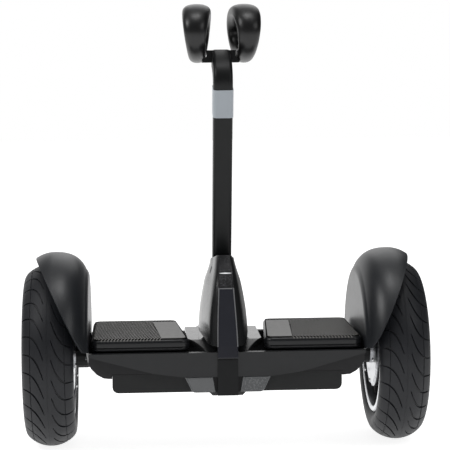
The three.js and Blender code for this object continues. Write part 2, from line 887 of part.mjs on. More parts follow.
// The keel strip stands on a seat that fills the wedge between the two lamps.
function keelStrip() {
  const face = bodyFront - panelDepth - keelProud;
  const panelFace = bodyFront - panelDepth - seatGap;
  const lampBack = bodyFront - seatGap;
  const top = apronBottom - runningGap;
  const strip = slabX([
    [face, keelBottom], [face, top - keelProud], [panelFace, top - keelProud],
    [panelFace, panelMiddleBottom - seatGap], [lampBack, panelMiddleBottom - seatGap],
    [lampBack, keelBottom],
  ], -stripHalfWidth, stripHalfWidth);
  const seat = slabY(mirroredOutline([
    [lampInnerBottom - seatGap, lampBottom], [lampInnerTop - seatGap, lampTop],
  ]), lampBack - lampDepth + keelProud, lampBack);
  return join(strip, seat);
}

function lampOutline() {
  const middle = lampOuterBottom - lampCorner;
  const corner = arc(middle, lampBottom + lampCorner, lampCorner, -90, -15, cornerSteps);
  return [
    [lampInnerBottom, lampBottom], ...corner, [lampOuterTop, lampTop], [lampInnerTop, lampTop],
  ];
}

function lampLens(seat, face) {
  return slabY(lampOutline(), Math.min(seat, face), Math.max(seat, face));
}

function batteryOutline() {
  const reach = batteryHalfWidth - batteryCorner;
  const corner = arc(reach, batteryBottom + batteryCorner, batteryCorner, -90, 0, cornerSteps);
  return mirroredOutline([...corner, [batteryHalfWidth, frameUnderside]]);
}

function batteryCase() {
  const block = slabY(batteryOutline(), bodyFront, batteryRear);
  const floor = batteryBottom + batteryWall;
  const above = frameUnderside + overrun;
  const channel = box(
    [-channelHalfWidth, channelHalfWidth],
    [bodyFront - overrun, batteryRear + overrun],
    [webBottom - runningGap, above],
  );
  const pockets = [-1, 1].map((sign) => {
    const near = sign * (channelHalfWidth + batteryWall);
    const far = sign * (batteryHalfWidth - batteryWall);
    return box(
      [Math.min(near, far), Math.max(near, far)],
      [bodyFront + batteryEndWall, batteryRear - batteryEndWall],
      [floor, above],
    );
  });
  return cut(block, channel, ...pockets);
}

// Rows of round cells held in one flat holder, for one side of the case.
function batteryPack() {
  const first = channelHalfWidth + batteryWall + cellRadius + seatGap;
  const height = batteryBottom + batteryWall + seatGap + cellRadius;
  const start = bodyFront + batteryEndWall + seatGap;
  const rowPitch = cellLength + seatGap * 2;
  const cellColumns = 1 + Math.floor((batteryHalfWidth - batteryWall - cellRadius - first) / cellPitch);
  const cellRows = Math.floor((batteryRear - batteryEndWall - start) / rowPitch);
  const cells = [];
  for (let column = 0; column < cellColumns; column += 1) {
    for (let row = 0; row < cellRows; row += 1) {
      const front = start + row * rowPitch;
      const x = first + column * cellPitch;
      cells.push(rodY(cellRadius, front, front + cellLength, x, height, cellSides));
    }
  }
  const holder = box(
    [first, first + (cellColumns - 1) * cellPitch],
    [start + cellHolderThickness, start + cellRows * rowPitch - cellHolderThickness],
    [height - cellHolderThickness / 2, height + cellHolderThickness / 2],
  );
  return join(holder, ...cells);
}

function centreFoot() {
  const inset = footHalfWidth - footChamfer;
  const top = batteryBottom - seatGap;
  const pad = slabY(mirroredOutline([
    [inset, footBottom], [footHalfWidth, footBottom + footChamfer], [footHalfWidth, top],
  ]), bodyFront, batteryRear);
  const nubBottom = footBottom - footNubHeight;
  const nub = rodZ(footNubRadius, nubBottom, top, 0, bodyFront + footHalfWidth, screwSides);
  return join(pad, nub);
}

function controlBoard() {
  const floor = frameUnderside + frameFloor + seatGap;
  const base = floor + boardRise;
  const half = boardPost / 2;
  const plate = box([boardInner, boardOuter], [boardFront, boardRear], [base, base + boardThickness]);
  const posts = [boardInner + half, boardOuter - half].flatMap((x) => (
    [boardFront + half, boardRear - half].map((y) => (
      box([x - half, x + half], [y - half, y + half], [floor, base + boardThickness / 2])
    ))
  ));
  const chips = [boardFront + 2 * chipSide, boardRear - 2 * chipSide].map((y) => box(
    [boardInner + chipSide / 2, boardInner + 3 * chipSide / 2],
    [y - chipSide / 2, y + chipSide / 2],
    [base, base + chipHeight],
  ));
  const sink = box(
    [boardOuter - 2 * chipSide, boardOuter - chipSide / 2],
    [boardFront + chipSide / 2, boardRear - chipSide / 2],
    [base, base + sinkHeight],
  );
  return join(plate, ...posts, ...chips, sink);
}

// Foot mats

function matOutline(inset) {
  const radius = matCorner - inset;
  const corners = [
    [matOuter - matCorner, matFront + matCorner, -90, 0],
    [matOuter - matCorner, matRear - matCorner, 0, 90],
    [matInnerRear + matCorner, matRear - matCorner, 90, 180],
    [matInnerFront + matCorner, matFront + matCorner, 180, 270],
  ];
  return corners.flatMap(([x, y, from, to]) => arc(x, y, radius, from, to, cornerSteps));
}

function footMat() {
  const levels = [
    [matBottom, matEdge / 2],
    [matBottom + matEdge / 2, 0],
    [matTop - matEdge, 0],
    [matTop - matEdge / 3, matEdge / 3],
    [matTop, matEdge],
  ];
  return loft(levels.map(([z, inset]) => (
    matOutline(inset).map(([x, y]) => new THREE.Vector3(x, y, z))
  )));
}

// Rubber domes on one thin membrane, squeezed when the mat sinks.
function matSwitch() {
  const seat = deckTop + seatGap;
  const top = matBottom - seatGap;
  const domes = domeXs.flatMap((x) => domeYs.map((y) => rodZ(domeRadius, seat, top, x, y, screwSides)));
  const membrane = box(domeXs, domeYs, [seat, seat + membraneThickness]);
  return join(membrane, ...domes);
}

// Steering pivot

function pivotShaft() {
  const front = armFront - armSlotMargin - webThickness;
  const rear = armRear + armSlotMargin + webThickness;
  return rodY(pivotRadius, front, rear, 0, pivotHeight);
}

function ringY(inner, outer, y0, y1, z) {
  const body = rodY(outer, y0, y1, 0, z);
  return cut(body, rodY(inner, y0 - overrun, y1 + overrun, 0, z));
}

function centringSleeve() {
  const inner = pivotRadius + bushingWall + seatGap;
  const start = armFront + eyeLength + seatGap;
  const end = armRear - eyeLength - seatGap;
  return ringY(inner, inner + sleeveWall, start, end, pivotHeight);
}

function eyeSpans() {
  return [[armFront, armFront + eyeLength], [armRear - eyeLength, armRear]];
}

function armBushing() {
  return ringY(pivotRadius + runningGap, pivotRadius + bushingWall, armFront, armRear, pivotHeight);
}

// Place on the steering bar's straight line at a height.
function stemY(height) {
  return stemEntryY - (height - columnTop) * Math.tan(stemLean);
}

function stemSection(halfWidth, halfDepth, corner) {
  const corners = [[1, -1, -90], [1, 1, 0], [-1, 1, 90], [-1, -1, 180]];
  return corners.flatMap(([sx, sy, from]) => (
    arc(sx * (halfWidth - corner), sy * (halfDepth - corner), corner, from, from + 90, cornerSteps / 2)
  ));
}

// Rings square to a line in the YZ plane; each station is [y, z, lean].
function barRings(stations, grow, corner) {
  const section = stemSection(stemHalfWidth + grow, stemHalfDepth + grow, corner);
  return stations.map(([y, z, lean]) => section.map(([across, deep]) => (
    new THREE.Vector3(across, y + deep * Math.cos(lean), z + deep * Math.sin(lean))
  )));
}

function straightBar(fromZ, toZ, grow, corner = stemCorner) {
  return loft(barRings([[stemY(fromZ), fromZ, stemLean], [stemY(toZ), toZ, stemLean]], grow, corner));
}

function steeringArm() {
  const socketOuter = straightBar(socketBottom, socketTop, socketWall + seatGap);
  const socketBore = straightBar(stemBottom - seatGap * 2, socketTop + overrun * 2, seatGap);
  const back = stemY(socketBottom) + stemHalfDepth;
  const front = stemY(socketBottom) - stemHalfDepth;
  const knee = columnFoot - armHalfWidth;
  const shoulder = pivotHeight + eyeRadius + armShoulder;
  const blade = slabX([
    [armFront, pivotHeight], [armFront, shoulder], [front, socketBottom + armShoulder],
    [back, socketBottom + armShoulder], [back, socketBottom - armShoulder],
    [armRear + eyeRadius, knee], [armRear, shoulder], [armRear, pivotHeight],
  ], -armHalfWidth, armHalfWidth);
  const gap = box(
    [-armHalfWidth - overrun, armHalfWidth + overrun],
    [armFront + eyeLength, armRear - eyeLength],
    [pivotHeight - 2 * eyeRadius, pivotHeight + eyeRadius + 2 * seatGap],
  );
  const eyes = eyeSpans().map(([y0, y1]) => rodY(eyeRadius, y0, y1, 0, pivotHeight));
  const boreRadius = pivotRadius + bushingWall + seatGap;
  const bore = rodY(boreRadius, armFront - overrun, armRear + overrun, 0, pivotHeight);
  return cut(join(cut(blade, gap), ...eyes, socketOuter), bore, socketBore);
}

// Column

function columnAt(height) {
  const share = (height - columnFoot) / columnHeight;
  const upper = Math.max(1, columnShares.findIndex(([s]) => s >= share));
  const [low, high] = [columnShares[upper - 1], columnShares[upper]];
  const t = (share - low[0]) / (high[0] - low[0]);
  const [, half, front, rear, strip] = low.map((value, i) => value + (high[i] - value) * t);
  return {
    half: half * columnHalfWidth,
    front: -front * columnFrontReach,
    rear: rear * columnRearReach,
    strip: strip * stripHalfWidth,
  };
}

function columnHeights() {
  return columnShares.map(([share]) => columnFoot + share * columnHeight);
}

// The column's upper rows tip back, so its top falls from the front strip to the rear one.
function tippedHeight(height, y) {
  const { front, rear } = columnAt(height);
  const up = (height - columnFoot) / columnHeight;
  const tip = THREE.MathUtils.clamp((up - tipShare) / (1 - tipShare), 0, 1);
  return height - (columnTopDrop * tip * (y - front)) / (rear - front);
}

// Half section of the column's side cover at one height, from the front strip to the rear one.
function coverSection(height, inset) {
  const { half, front, rear, strip } = columnAt(height);
  const middle = (front + rear) / 2;
  const edge = strip + seatGap;
  const cheekX = strip + (half - strip) * cheekShare;
  const rearEdge = rearStripHalfWidth + seatGap;
  const round = half * roundShare;
  return [
    [edge, front + inset],
    [cheekX - inset, front + cheekDepth],
    [half * sideShare - inset, middle - round],
    [half - inset, middle + round * 2],
    [half * rearCornerShare - inset, rear - round * 2],
    [rearEdge, rear - inset],
  ];
}

// The skirt clears the saddle, and the plateau too when the column leans all the way. It drops to
// the column's foot in front of the saddle.
function skirtHeight(x, y) {
  const overSaddle = Math.sqrt(skirtRadius ** 2 - x ** 2);
  const rise = plateauTop + runningGap - pivotHeight;
  const overPlateau = (rise + x * Math.sin(leanLimit)) / Math.cos(leanLimit);
  const skirt = pivotHeight + Math.max(overSaddle, overPlateau);
  const { front } = columnAt(coverFoot);
  const frontShare = THREE.MathUtils.clamp((skirtDropStart - y) / (skirtDropStart - front), 0, 1);
  return skirt + (columnFoot + seatGap - skirt) * frontShare;
}

function columnCover() {
  const grid = (inset) => {
    const foot = coverSection(coverFoot, inset);
    const bottom = foot.map(([x, y]) => new THREE.Vector3(x, y, skirtHeight(x, y)));
    const rows = columnHeights().slice(1).map((z) => (
      coverSection(z, inset).map(([x, y]) => new THREE.Vector3(x, y, tippedHeight(z, y)))
    ));
    return [bottom, ...rows];
  };
  return sheet(grid(0), grid(columnWall));
}

// Outer end of the release button, a little proud of the cover beside it.
function releaseEnd() {
  const section = coverSection(releaseHeight, 0);
  const next = section.findIndex(([, y]) => y >= releaseY);
  const [[x0, y0], [x1, y1]] = [section[next - 1], section[next]];
  return x0 + ((x1 - x0) * (releaseY - y0)) / (y1 - y0) + releaseProud;
}

function leftCover() {
  const cover = solidOf(geometryOf(columnCover()).scale(-1, 1, 1));
  const end = releaseEnd();
  const inner = end - releaseLength;
  const radius = releaseRadius + runningGap;
  return cut(cover, rodX(radius, -end - overrun, overrun - inner, releaseY, releaseHeight));
}

// Heights down the column from one to another, with each of the column's own between them.
function stripHeights(fromZ, toZ) {
  const between = columnHeights().filter((z) => z < toZ && z > fromZ);
  return [toZ, ...between.reverse(), fromZ];
}

// Lines down the column, as rows of [y, z, half width].
function frontLine(fromZ, toZ, inset) {
  return stripHeights(fromZ, toZ).map((z) => {
    const { front, strip } = columnAt(z);
    return [front + inset, z, strip];
  });
}

function rearLine(fromZ, toZ, inset) {
  return stripHeights(fromZ, toZ).map((z) => {
    const { rear } = columnAt(z);
    return [rear - inset, tippedHeight(z, rear), rearStripHalfWidth];
  });
}

function band(outer, inner) {
  const grid = (rows) => rows.map(([y, z, half]) => (
    [new THREE.Vector3(-half, y, z), new THREE.Vector3(half, y, z)]
  ));
  return sheet(grid(outer), grid(inner));
}

function columnFrontStrip() {
  const apronFace = -columnFrontReach - keelProud;
  const apronBack = bodyFront - panelDepth - keelProud - runningGap;
  const bendFace = -columnFrontReach - (keelProud * apronBendDrop) / apronDrop;
  const top = gripBottom - seatGap;
  return band(
    [
      ...frontLine(columnFoot, top, 0),
      [bendFace, apronBend, stripHalfWidth], [apronFace, apronBottom, stripHalfWidth],
    ],
    [
      ...frontLine(columnFoot, top, sheetWall),
      [apronBack, apronBend, stripHalfWidth], [apronBack, apronBottom, stripHalfWidth],
    ],
  );
}

function slitTool(grow) {
  const { front } = columnAt(slitHeight);
  return box(
    [-slitHalfWidth - grow, slitHalfWidth + grow],
    [front - overrun, front + overrun * 2],
    [slitHeight - slitTall / 2 - grow, slitHeight + slitTall / 2 + grow],
  );
}

function gripPanel() {
  const panel = band(
    frontLine(gripBottom, columnTop, 0),
    frontLine(gripBottom, columnTop, sheetWall),
  );
  return cut(panel, slitTool(seatGap));
}

function headlightLens() {
  const panel = band(
    frontLine(gripBottom, columnTop, seatGap),
    frontLine(gripBottom, columnTop, sheetWall),
  );
  return panel.intersect(slitTool(0));
}

function rearTool(height, halfWidth, halfTall) {
  const { rear } = columnAt(height);
  return box(
    [-halfWidth, halfWidth],
    [rear - overrun * 3, rear + overrun * 3],
    [height - halfTall, height + halfTall],
  );
}

function columnRearStrip() {
  const bottom = pivotHeight + skirtRadius;
  const strip = band(rearLine(bottom, columnTop, 0), rearLine(bottom, columnTop, sheetWall));
  const buttonHole = rodY(
    powerButtonRadius + runningGap,
    0,
    columnRearReach + overrun,
    0,
    powerButtonHeight,
  );
  const window = rearTool(displayHeight, displayHalfWidth + seatGap, displayLength / 2 + seatGap);
  return cut(strip, window, buttonHole);
}

function statusDisplay() {
  const from = displayHeight - displayLength;
  const to = displayHeight + displayLength;
  const strip = band(rearLine(from, to, 0), rearLine(from, to, sheetWall));
  return strip.intersect(rearTool(displayHeight, displayHalfWidth, displayLength / 2));
}

function powerButton() {
  const { rear } = columnAt(powerButtonHeight);
  const face = rear + powerButtonProud;
  return rodY(powerButtonRadius, face - 2 * sheetWall, face, 0, powerButtonHeight);
}

function releaseButton() {
  const end = releaseEnd();
  return rodX(releaseRadius, -end, releaseLength - end, releaseY, releaseHeight);
}

// Steering bar: straight up from the socket, then bent back towards the rider

function stemStations(fromZ) {
  const bendStart = new THREE.Vector2(stemY(stemBendHeight), stemBendHeight);
  const along = new THREE.Vector2(-Math.sin(stemLean), Math.cos(stemLean));
  const reach = (stemTop - stemBendHeight) * stemBendShare;
  const corner = bendStart.clone().addScaledVector(along, reach);
  const end = new THREE.Vector2(stemTopY, stemTop);
  const bend = new THREE.QuadraticBezierCurve(bendStart, corner, end);
  const stations = [[stemY(fromZ), fromZ, stemLean]];
  for (let i = 0; i <= stemBendSteps; i += 1) {
    const point = bend.getPoint(i / stemBendSteps);
    const tangent = bend.getTangent(i / stemBendSteps);
    stations.push([point.x, point.y, Math.atan2(-tangent.x, tangent.y)]);
  }
  return stations;
}

function stemTube() {
  const outer = loft(barRings(stemStations(stemBottom), 0, stemCorner));
  const inside = stemStations(stemBottom - overrun);
  const bore = loft(barRings(inside.slice(0, -1), -stemWall, stemCorner - stemWall));
  return cut(outer, bore);
}

function labelBand() {
  const outer = straightBar(labelBottom, labelTop, seatGap + labelThickness, stemCorner + seatGap);
  const inner = straightBar(labelBottom - overrun, labelTop + overrun, seatGap);
  return cut(outer, inner);
}

function padRings(grow) {
  return Array.from({ length: padSteps }, (_, i) => {
    const turn = (i * 2 * Math.PI) / padSteps;
    const [deep, up] = [Math.cos(turn), Math.sin(turn)];
    const fullShare = (up + 1) / 2;
    const halfWidth = padHalfWidthBottom + (padHalfWidthTop - padHalfWidthBottom) * fullShare + grow;
    const centreX = (padFrontX + padRearX) / 2 - ((padFrontX - padRearX) / 2) * deep;
    return Array.from({ length: padSides }, (_, side) => {
      const angle = (side * 2 * Math.PI) / padSides;
      const out = (padThickness + grow) * Math.cos(angle);
      return new THREE.Vector3(
        centreX + halfWidth * Math.sin(angle),
        (padLoopHalfDepth + out) * deep,
        padCentreHeight + (padLoopHalfHeight + out) * up,
      );
    });
  });
}

function kneePad() {
  return loft(padRings(0), true);
}

function stemHead() {
  const bar = box([-headHalfWidth, headHalfWidth], [headFront, headRear], [headBottom, headTop]);
  const pad = loft(padRings(seatGap), true);
  const otherPad = solidOf(geometryOf(pad).scale(-1, 1, 1));
  const tube = loft(barRings(stemStations(stemBottom), seatGap, stemCorner));
  return cut(bar, pad, otherPad, tube);
}

// Charging socket and its cap

function chargeSocket() {
  const face = bodyRear + panelDepth;
  const body = rodY(chargeRadius, face - chargeDepth, face, chargeX, chargeHeight);
  const bottom = face - chargeDepth + chargeWall;
  const hollow = rodY(chargeRadius - chargeWall, bottom, face + overrun, chargeX, chargeHeight);
  return cut(body, hollow);
}

function chargeCap() {
  const face = bodyRear + panelDepth + seatGap;
  const disc = rodY(chargeCapRadius, face, face + chargeCapThickness, chargeX, chargeHeight);
  const hinge = rodX(
    chargeHingeRadius,
    chargeX - chargeRadius,
    chargeX + chargeRadius,
    face + chargeHingeRadius,
    chargeHeight + chargeCapRadius,
    screwSides,
  );
  const plugRadius = chargeRadius - chargeWall - runningGap;
  const plug = rodY(plugRadius, face - chargePlugLength, face + seatGap, chargeX, chargeHeight);
  return join(disc, hinge, plug);
}

// Assembly

const transporter = new THREE.Group();
const aboutAxle = new THREE.Group();
aboutAxle.position.z = axleHeight;
transporter.add(aboutAxle);

function addSided(name, solid, look) {
  [['left', -1], ['right', 1]].forEach(([side, sign]) => {
    const group = new THREE.Group();
    group.scale.x = sign;
    group.add(piece(`${side}_${name}`, solid, look));
    aboutAxle.add(group);
  });
}

function addWheels() {
  const pieces = [
    ['tyre', tyre(), 'rubber'],
    ['rim', rim(), 'rimAlloy'],
    ['motor_cover', motorCover(), 'castAlloy'],
    ['magnet_ring', magnetRing(), 'steel'],
    ['wheel_bearing', wheelBearing(), 'steel'],
    ['tyre_valve', valve(), 'steel'],
    ['stator', stator(), 'copper'],
  ];
  [['left', -1], ['right', 1]].forEach(([side, sign]) => {
    const wheel = new THREE.Group();
    wheel.position.x = sign * wheelX;
    wheel.scale.x = sign;
    pieces.forEach(([name, solid, look]) => wheel.add(piece(`${side}_${name}`, solid, look)));
    aboutAxle.add(wheel);
  });
}

function addBody() {
  const lampSeat = bodyFront - seatGap;
  const tailSeat = batteryRear + seatGap;
  const pieces = [
    ['chassis_frame', chassisFrame(), 'castAlloy'],
    ['deck_cover', deckCover(), 'satinBlack'],
    ['front_panel', endPanel(-1), 'satinBlack'],
    ['rear_panel', rearPanel(), 'satinBlack'],
    ['front_keel_strip', keelStrip(), 'glossBlack'],
    ['battery_case', batteryCase(), 'mattBlack'],
    ['control_board', controlBoard(), 'board'],
    ['centre_foot', centreFoot(), 'rubber'],
    ['pivot_shaft', pivotShaft(), 'steel'],
    ['centring_sleeve', centringSleeve(), 'rubber'],
    ['charge_socket', chargeSocket(), 'mattBlack'],
    ['charge_cap', chargeCap(), 'rubber'],
  ];
  pieces.forEach(([name, solid, look]) => aboutAxle.add(piece(name, solid, look)));
  addSided('lamp_lens', lampLens(lampSeat, lampSeat - lampDepth), 'lamp');
  addSided('tail_lens', lampLens(tailSeat, tailSeat + lampDepth), 'redLamp');
  addSided('fender', fender(), 'fenderGrey');
  addSided('fender_screw', fenderScrew(), 'steel');
  addSided('battery_pack', batteryPack(), 'cells');
  addSided('axle', axle(), 'steel');
  addSided('axle_clamp', axleClamp(), 'castAlloy');
  addSided('foot_mat', footMat(), 'rubber');
  addSided('mat_switch', matSwitch(), 'softRubber');
}

function addSteering() {
  const pieces = [
    ['steering_arm', steeringArm(), 'castAlloy'],
    ['arm_bushing', armBushing(), 'steel'],
    ['column_left_cover', leftCover(), 'satinBlack'],
    ['column_right_cover', columnCover(), 'satinBlack'],
    ['column_front_strip', columnFrontStrip(), 'glossBlack'],
    ['column_grip_panel', gripPanel(), 'mattBlack'],
    ['headlight_lens', headlightLens(), 'whiteLamp'],
    ['column_rear_strip', columnRearStrip(), 'mattBlack'],
    ['status_display', statusDisplay(), 'glossBlack'],
    ['power_button', powerButton(), 'softRubber'],
    ['release_button', releaseButton(), 'mattBlack'],
    ['stem_tube', stemTube(), 'mattBlack'],
    ['stem_head', stemHead(), 'mattBlack'],
    ['label_band', labelBand(), 'label'],
  ];
  pieces.forEach(([name, solid, look]) => aboutAxle.add(piece(name, solid, look)));
  addSided('knee_pad', kneePad(), 'softRubber');
}

addWheels();
addBody();
addSteering();

export default transporter;
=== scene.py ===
# Looks of a self balancing personal transporter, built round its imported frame.
# Metres, +Z up. The front faces -Y, and +X is on the right of a viewer who stands before it.

import math

import bmesh
import bpy
from mathutils import Matrix, Vector


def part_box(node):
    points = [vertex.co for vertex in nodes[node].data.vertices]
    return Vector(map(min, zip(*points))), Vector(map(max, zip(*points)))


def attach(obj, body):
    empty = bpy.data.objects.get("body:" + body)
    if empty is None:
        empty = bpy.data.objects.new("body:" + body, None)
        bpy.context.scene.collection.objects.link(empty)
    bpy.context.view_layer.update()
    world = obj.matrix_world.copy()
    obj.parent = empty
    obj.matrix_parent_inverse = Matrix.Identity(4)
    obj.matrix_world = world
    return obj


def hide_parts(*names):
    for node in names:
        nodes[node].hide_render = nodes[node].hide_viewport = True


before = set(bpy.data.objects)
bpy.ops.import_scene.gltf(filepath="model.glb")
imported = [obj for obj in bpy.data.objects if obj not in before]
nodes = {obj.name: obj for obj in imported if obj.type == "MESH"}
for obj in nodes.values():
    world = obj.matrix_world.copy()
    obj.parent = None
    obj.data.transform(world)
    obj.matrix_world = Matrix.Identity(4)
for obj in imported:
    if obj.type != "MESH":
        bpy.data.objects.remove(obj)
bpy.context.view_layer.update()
SIDES = (("left", -1), ("right", 1))
SEAT_GAP = 0.0003
RUNNING_GAP = 0.0004
OVERRUN = 0.010

# Pivot and tyres
pivot_low, pivot_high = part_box("pivot_shaft")
PIVOT_HEIGHT = (pivot_low.z + pivot_high.z) / 2
tyre_low, tyre_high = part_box("right_tyre")
TYRE_RADIUS = (tyre_high.z - tyre_low.z) / 2
AXLE_HEIGHT = TYRE_RADIUS
TYRE_HALF = (tyre_high.x - tyre_low.x) / 2
WHEEL_X = (tyre_high.x + tyre_low.x) / 2
BEAD_RADIUS = 0.0823
BEAD_HALF = 0.024
SHOULDER_RADIUS = 0.0876
TREAD_HEIGHT = TYRE_RADIUS - SHOULDER_RADIUS
TYRE_WALL = 0.005
OUTER_SHARES = ((0.79, 0.02), (0.92, 0.14), (0.985, 0.27), (1.00, 0.38), (0.985, 0.49),
                (0.94, 0.59), (0.875, 0.67), (0.79, 0.74), (0.69, 0.81), (0.57, 0.872),
                (0.44, 0.925), (0.30, 0.964), (0.15, 0.99), (0.0, 1.0))
HOLLOW_SHARES = ((0.80, 0.34), (0.72, 0.68), (0.45, 0.84))
CROWN_RADIUS = SHOULDER_RADIUS + TREAD_HEIGHT / 2
WALL_SHARE = 0.42
WALL_RADIUS = SHOULDER_RADIUS + TREAD_HEIGHT * WALL_SHARE
SECTION_STEPS = 12
ROW_STEP = 0.0012
WALL_STEP = 0.003
SIPE_COUNT = 30
SIPE_PITCH = 2 * math.pi / SIPE_COUNT
SIPE_DROP = 0.034
SIPE_WIDTH = 0.0027
SIPE_DEPTH = 0.0020
SIPE_START_SHARE = 0.15
SIPE_END_SHARE = 0.985
SIPE_FADE_SHARES = (0.05, 0.1)
SIPE_ACROSS_SHARES = (-1.0, -0.72, 0.72, 1.0)
SIPE_NARROW_SHARE = 0.3
SIPE_SWELL_POWER = 0.7
LANDS = 4
LINE_SHARE = 0.65
LINE_X = TYRE_HALF * LINE_SHARE
LINE_WIDTH = 0.0013
LINE_DEPTH = 0.0008
LINE_ROW_SHARES = (-0.6, -0.35, 0.35, 0.6)
CENTRE_LINE_DEPTH = 0.0003
CENTRE_LINE_SHARE = 0.4
CENTRE_ROW_SHARES = (0.0, 0.3, 0.55)

# Rims
RIM_LIP = 0.0872
BARREL_RADIUS = 0.082
BARREL_INNER = 0.078
BARREL_RING_HALF = 0.004
FLANGE_SEAT = 0.0243
FLANGE_EDGE = 0.0312
SHELL_RADIUS = 0.052
SHELL_OUTER_FACE = 0.022
SHELL_INNER_FACE = -0.027
SHELL_WALL = 0.004
SHELL_STEP = 0.0015
SHELL_RING_RADIUS = 0.0305
SHELL_BOSS_RADIUS = 0.0145
SPOKE_COUNT = 6
SPOKE_PHASE = math.radians(40)
SPOKE_WIDTH = 0.011
SPOKE_FORK = 0.015
SPOKE_FORK_START = 0.061
SPOKE_FORK_ROUND = 0.002
SPOKE_OUTER_FACE = 0.019
SPOKE_INNER_FACE = -0.021
SPOKE_SINK = 0.001
SPOKE_ROOT = 0.003
SPOKE_ROUNDING = 0.0014
COVER_SCREWS = 6
COVER_SCREW_REACH = 0.044
COVER_SCREW_RADIUS = 0.0026
COVER_SCREW_PROUD = 0.0016
COVER_SCREW_SIDES = 16
COVER_SCREW_SHARES = ((1.0, 0.0), (1.0, 0.5), (0.75, 0.9), (0.4, 1.0), (0.3, 0.45))
WHEEL_SEGMENTS = 96


# Mesh helpers

def mesh_object(name, points, faces, smooth_angle=40):
    mesh = bpy.data.meshes.new(name)
    mesh.from_pydata([tuple(p) for p in points], [], faces)
    work = bmesh.new()
    work.from_mesh(mesh)
    bmesh.ops.recalc_face_normals(work, faces=work.faces)
    work.to_mesh(mesh)
    work.free()
    mesh.shade_smooth()
    mesh.set_sharp_from_angle(angle=math.radians(smooth_angle))
    piece = bpy.data.objects.new(name, mesh)
    bpy.context.scene.collection.objects.link(piece)
    return piece


def lofts(name, parts, closed_rows=False, smooth_angle=40):
    """Skins one or more separate lofts, each of them rows of closed rings of points.

    Open rows get a flat cap at each end.
    """
    points = []
    faces = []
    for rows in parts:
        count = len(rows[0])
        start = len(points)
        points += [p for row in rows for p in row]
        last = len(rows) if closed_rows else len(rows) - 1
        for r in range(last):
            here = start + r * count
            there = start + ((r + 1) % len(rows)) * count
            for i in range(count):
                j = (i + 1) % count
                faces.append((here + i, here + j, there + j, there + i))
        if not closed_rows:
            faces.append(tuple(range(start, start + count)))
            faces.append(tuple(range(len(points) - count, len(points))))
    return mesh_object(name, points, faces, smooth_angle)


def lofted(name, rows, closed_rows=False, smooth_angle=40):
    return lofts(name, [rows], closed_rows, smooth_angle)


def sheet_object(name, outside, inside, smooth_angle=40):
    """A shell between two grids of points, closed round its border."""
    rows = len(outside)
    columns = len(outside[0])
    points = [p for grid in (outside, inside) for row in grid for p in row]

    def at(side, row, column):
        return (side * rows + row) * columns + column

    faces = []
    for r in range(rows - 1):
        for c in range(columns - 1):
            for side in (0, 1):
                faces.append((at(side, r, c), at(side, r, c + 1),
                              at(side, r + 1, c + 1), at(side, r + 1, c)))
    border = [(0, c) for c in range(columns - 1)]
    border += [(r, columns - 1) for r in range(rows - 1)]
    border += [(rows - 1, c) for c in range(columns - 1, 0, -1)]
    border += [(r, 0) for r in range(rows - 1, 0, -1)]
    for i, (r, c) in enumerate(border):
        nr, nc = border[(i + 1) % len(border)]
        faces.append((at(0, r, c), at(0, nr, nc), at(1, nr, nc), at(1, r, c)))
    return mesh_object(name, points, faces, smooth_angle)


def slab_object(name, outline, low, high, axis="x"):
    """Pushes a flat outline along an axis. The outline holds the other two coordinates in order."""
    def place(a, b, along):
        if axis == "x":
            return (along, a, b)
        if axis == "y":
            return (a, along, b)
        return (a, b, along)

    rows = [[place(a, b, along) for a, b in outline] for along in (low, high)]
    return lofted(name, rows)


def box_object(name, low, high):
    outline = [(low[0], low[1]), (high[0], low[1]), (high[0], high[1]), (low[0], high[1])]
    return slab_object(name, outline, low[2], high[2], "z")


def around(count):
    """Angles at even steps round a full turn."""
    return [2 * math.pi * i / count for i in range(count)]


def turned(name, profile, smooth_angle=40):
    """Turns a closed profile of (radius, x) about the X axis."""
    rows = [[(x, -r * math.sin(a), r * math.cos(a)) for r, x in profile] for a in around(WHEEL_SEGMENTS)]
    return lofted(name, rows, closed_rows=True, smooth_angle=smooth_angle)


def spun(name, profile, smooth_angle=40):
    """Turns an open profile of (radius, x) about the X axis and closes it with a small disc at each end."""
    rows = [[(x, -r * math.sin(a), r * math.cos(a)) for a in around(WHEEL_SEGMENTS)] for r, x in profile]
    return lofted(name, rows, smooth_angle=smooth_angle)


def shifted(piece, x=0.0, y=0.0, z=0.0):
    piece.data.transform(Matrix.Translation((x, y, z)))
    return piece


def turned_about_x(piece, angle):
    piece.data.transform(Matrix.Rotation(angle, 4, "X"))
    return piece


def mirrored(piece):
    piece.data.transform(Matrix.Scale(-1, 4, (1, 0, 0)))
    piece.data.flip_normals()
    return piece


def on_side(piece, sign):
    """Mirrors a piece that was built for the right when it is wanted on the left."""
    return mirrored(piece) if sign < 0 else piece


def apply_modifiers(piece):
    graph = bpy.context.evaluated_depsgraph_get()
    graph.update()
    made = bpy.data.meshes.new_from_object(piece.evaluated_get(graph))
    piece.modifiers.clear()
    piece.data = made
    return piece


def rounded(piece, width, segments=3, angle=35):
    """Rounds the sharp edges of a piece, as moulding and casting do."""
    bevel = piece.modifiers.new("rounding", "BEVEL")
    bevel.width = width
    bevel.segments = segments
    bevel.limit_method = "ANGLE"
    bevel.angle_limit = math.radians(angle)
    bevel.use_clamp_overlap = True
    bevel.harden_normals = True
    return piece


def combined(base, operation, tool):
    """Joins, cuts or intersects base with a tool, and removes the tool."""
    step = base.modifiers.new("step", "BOOLEAN")
    step.operation = operation
    step.solver = "EXACT"
    step.object = tool
    apply_modifiers(base)
    bpy.data.objects.remove(tool)
    base.data.shade_smooth()
    base.data.set_sharp_from_angle(angle=math.radians(35))
    return base


def spaced(start, end, steps):
    """Values at even steps from start to end, both included."""
    return [start + (end - start) * i / steps for i in range(steps + 1)]


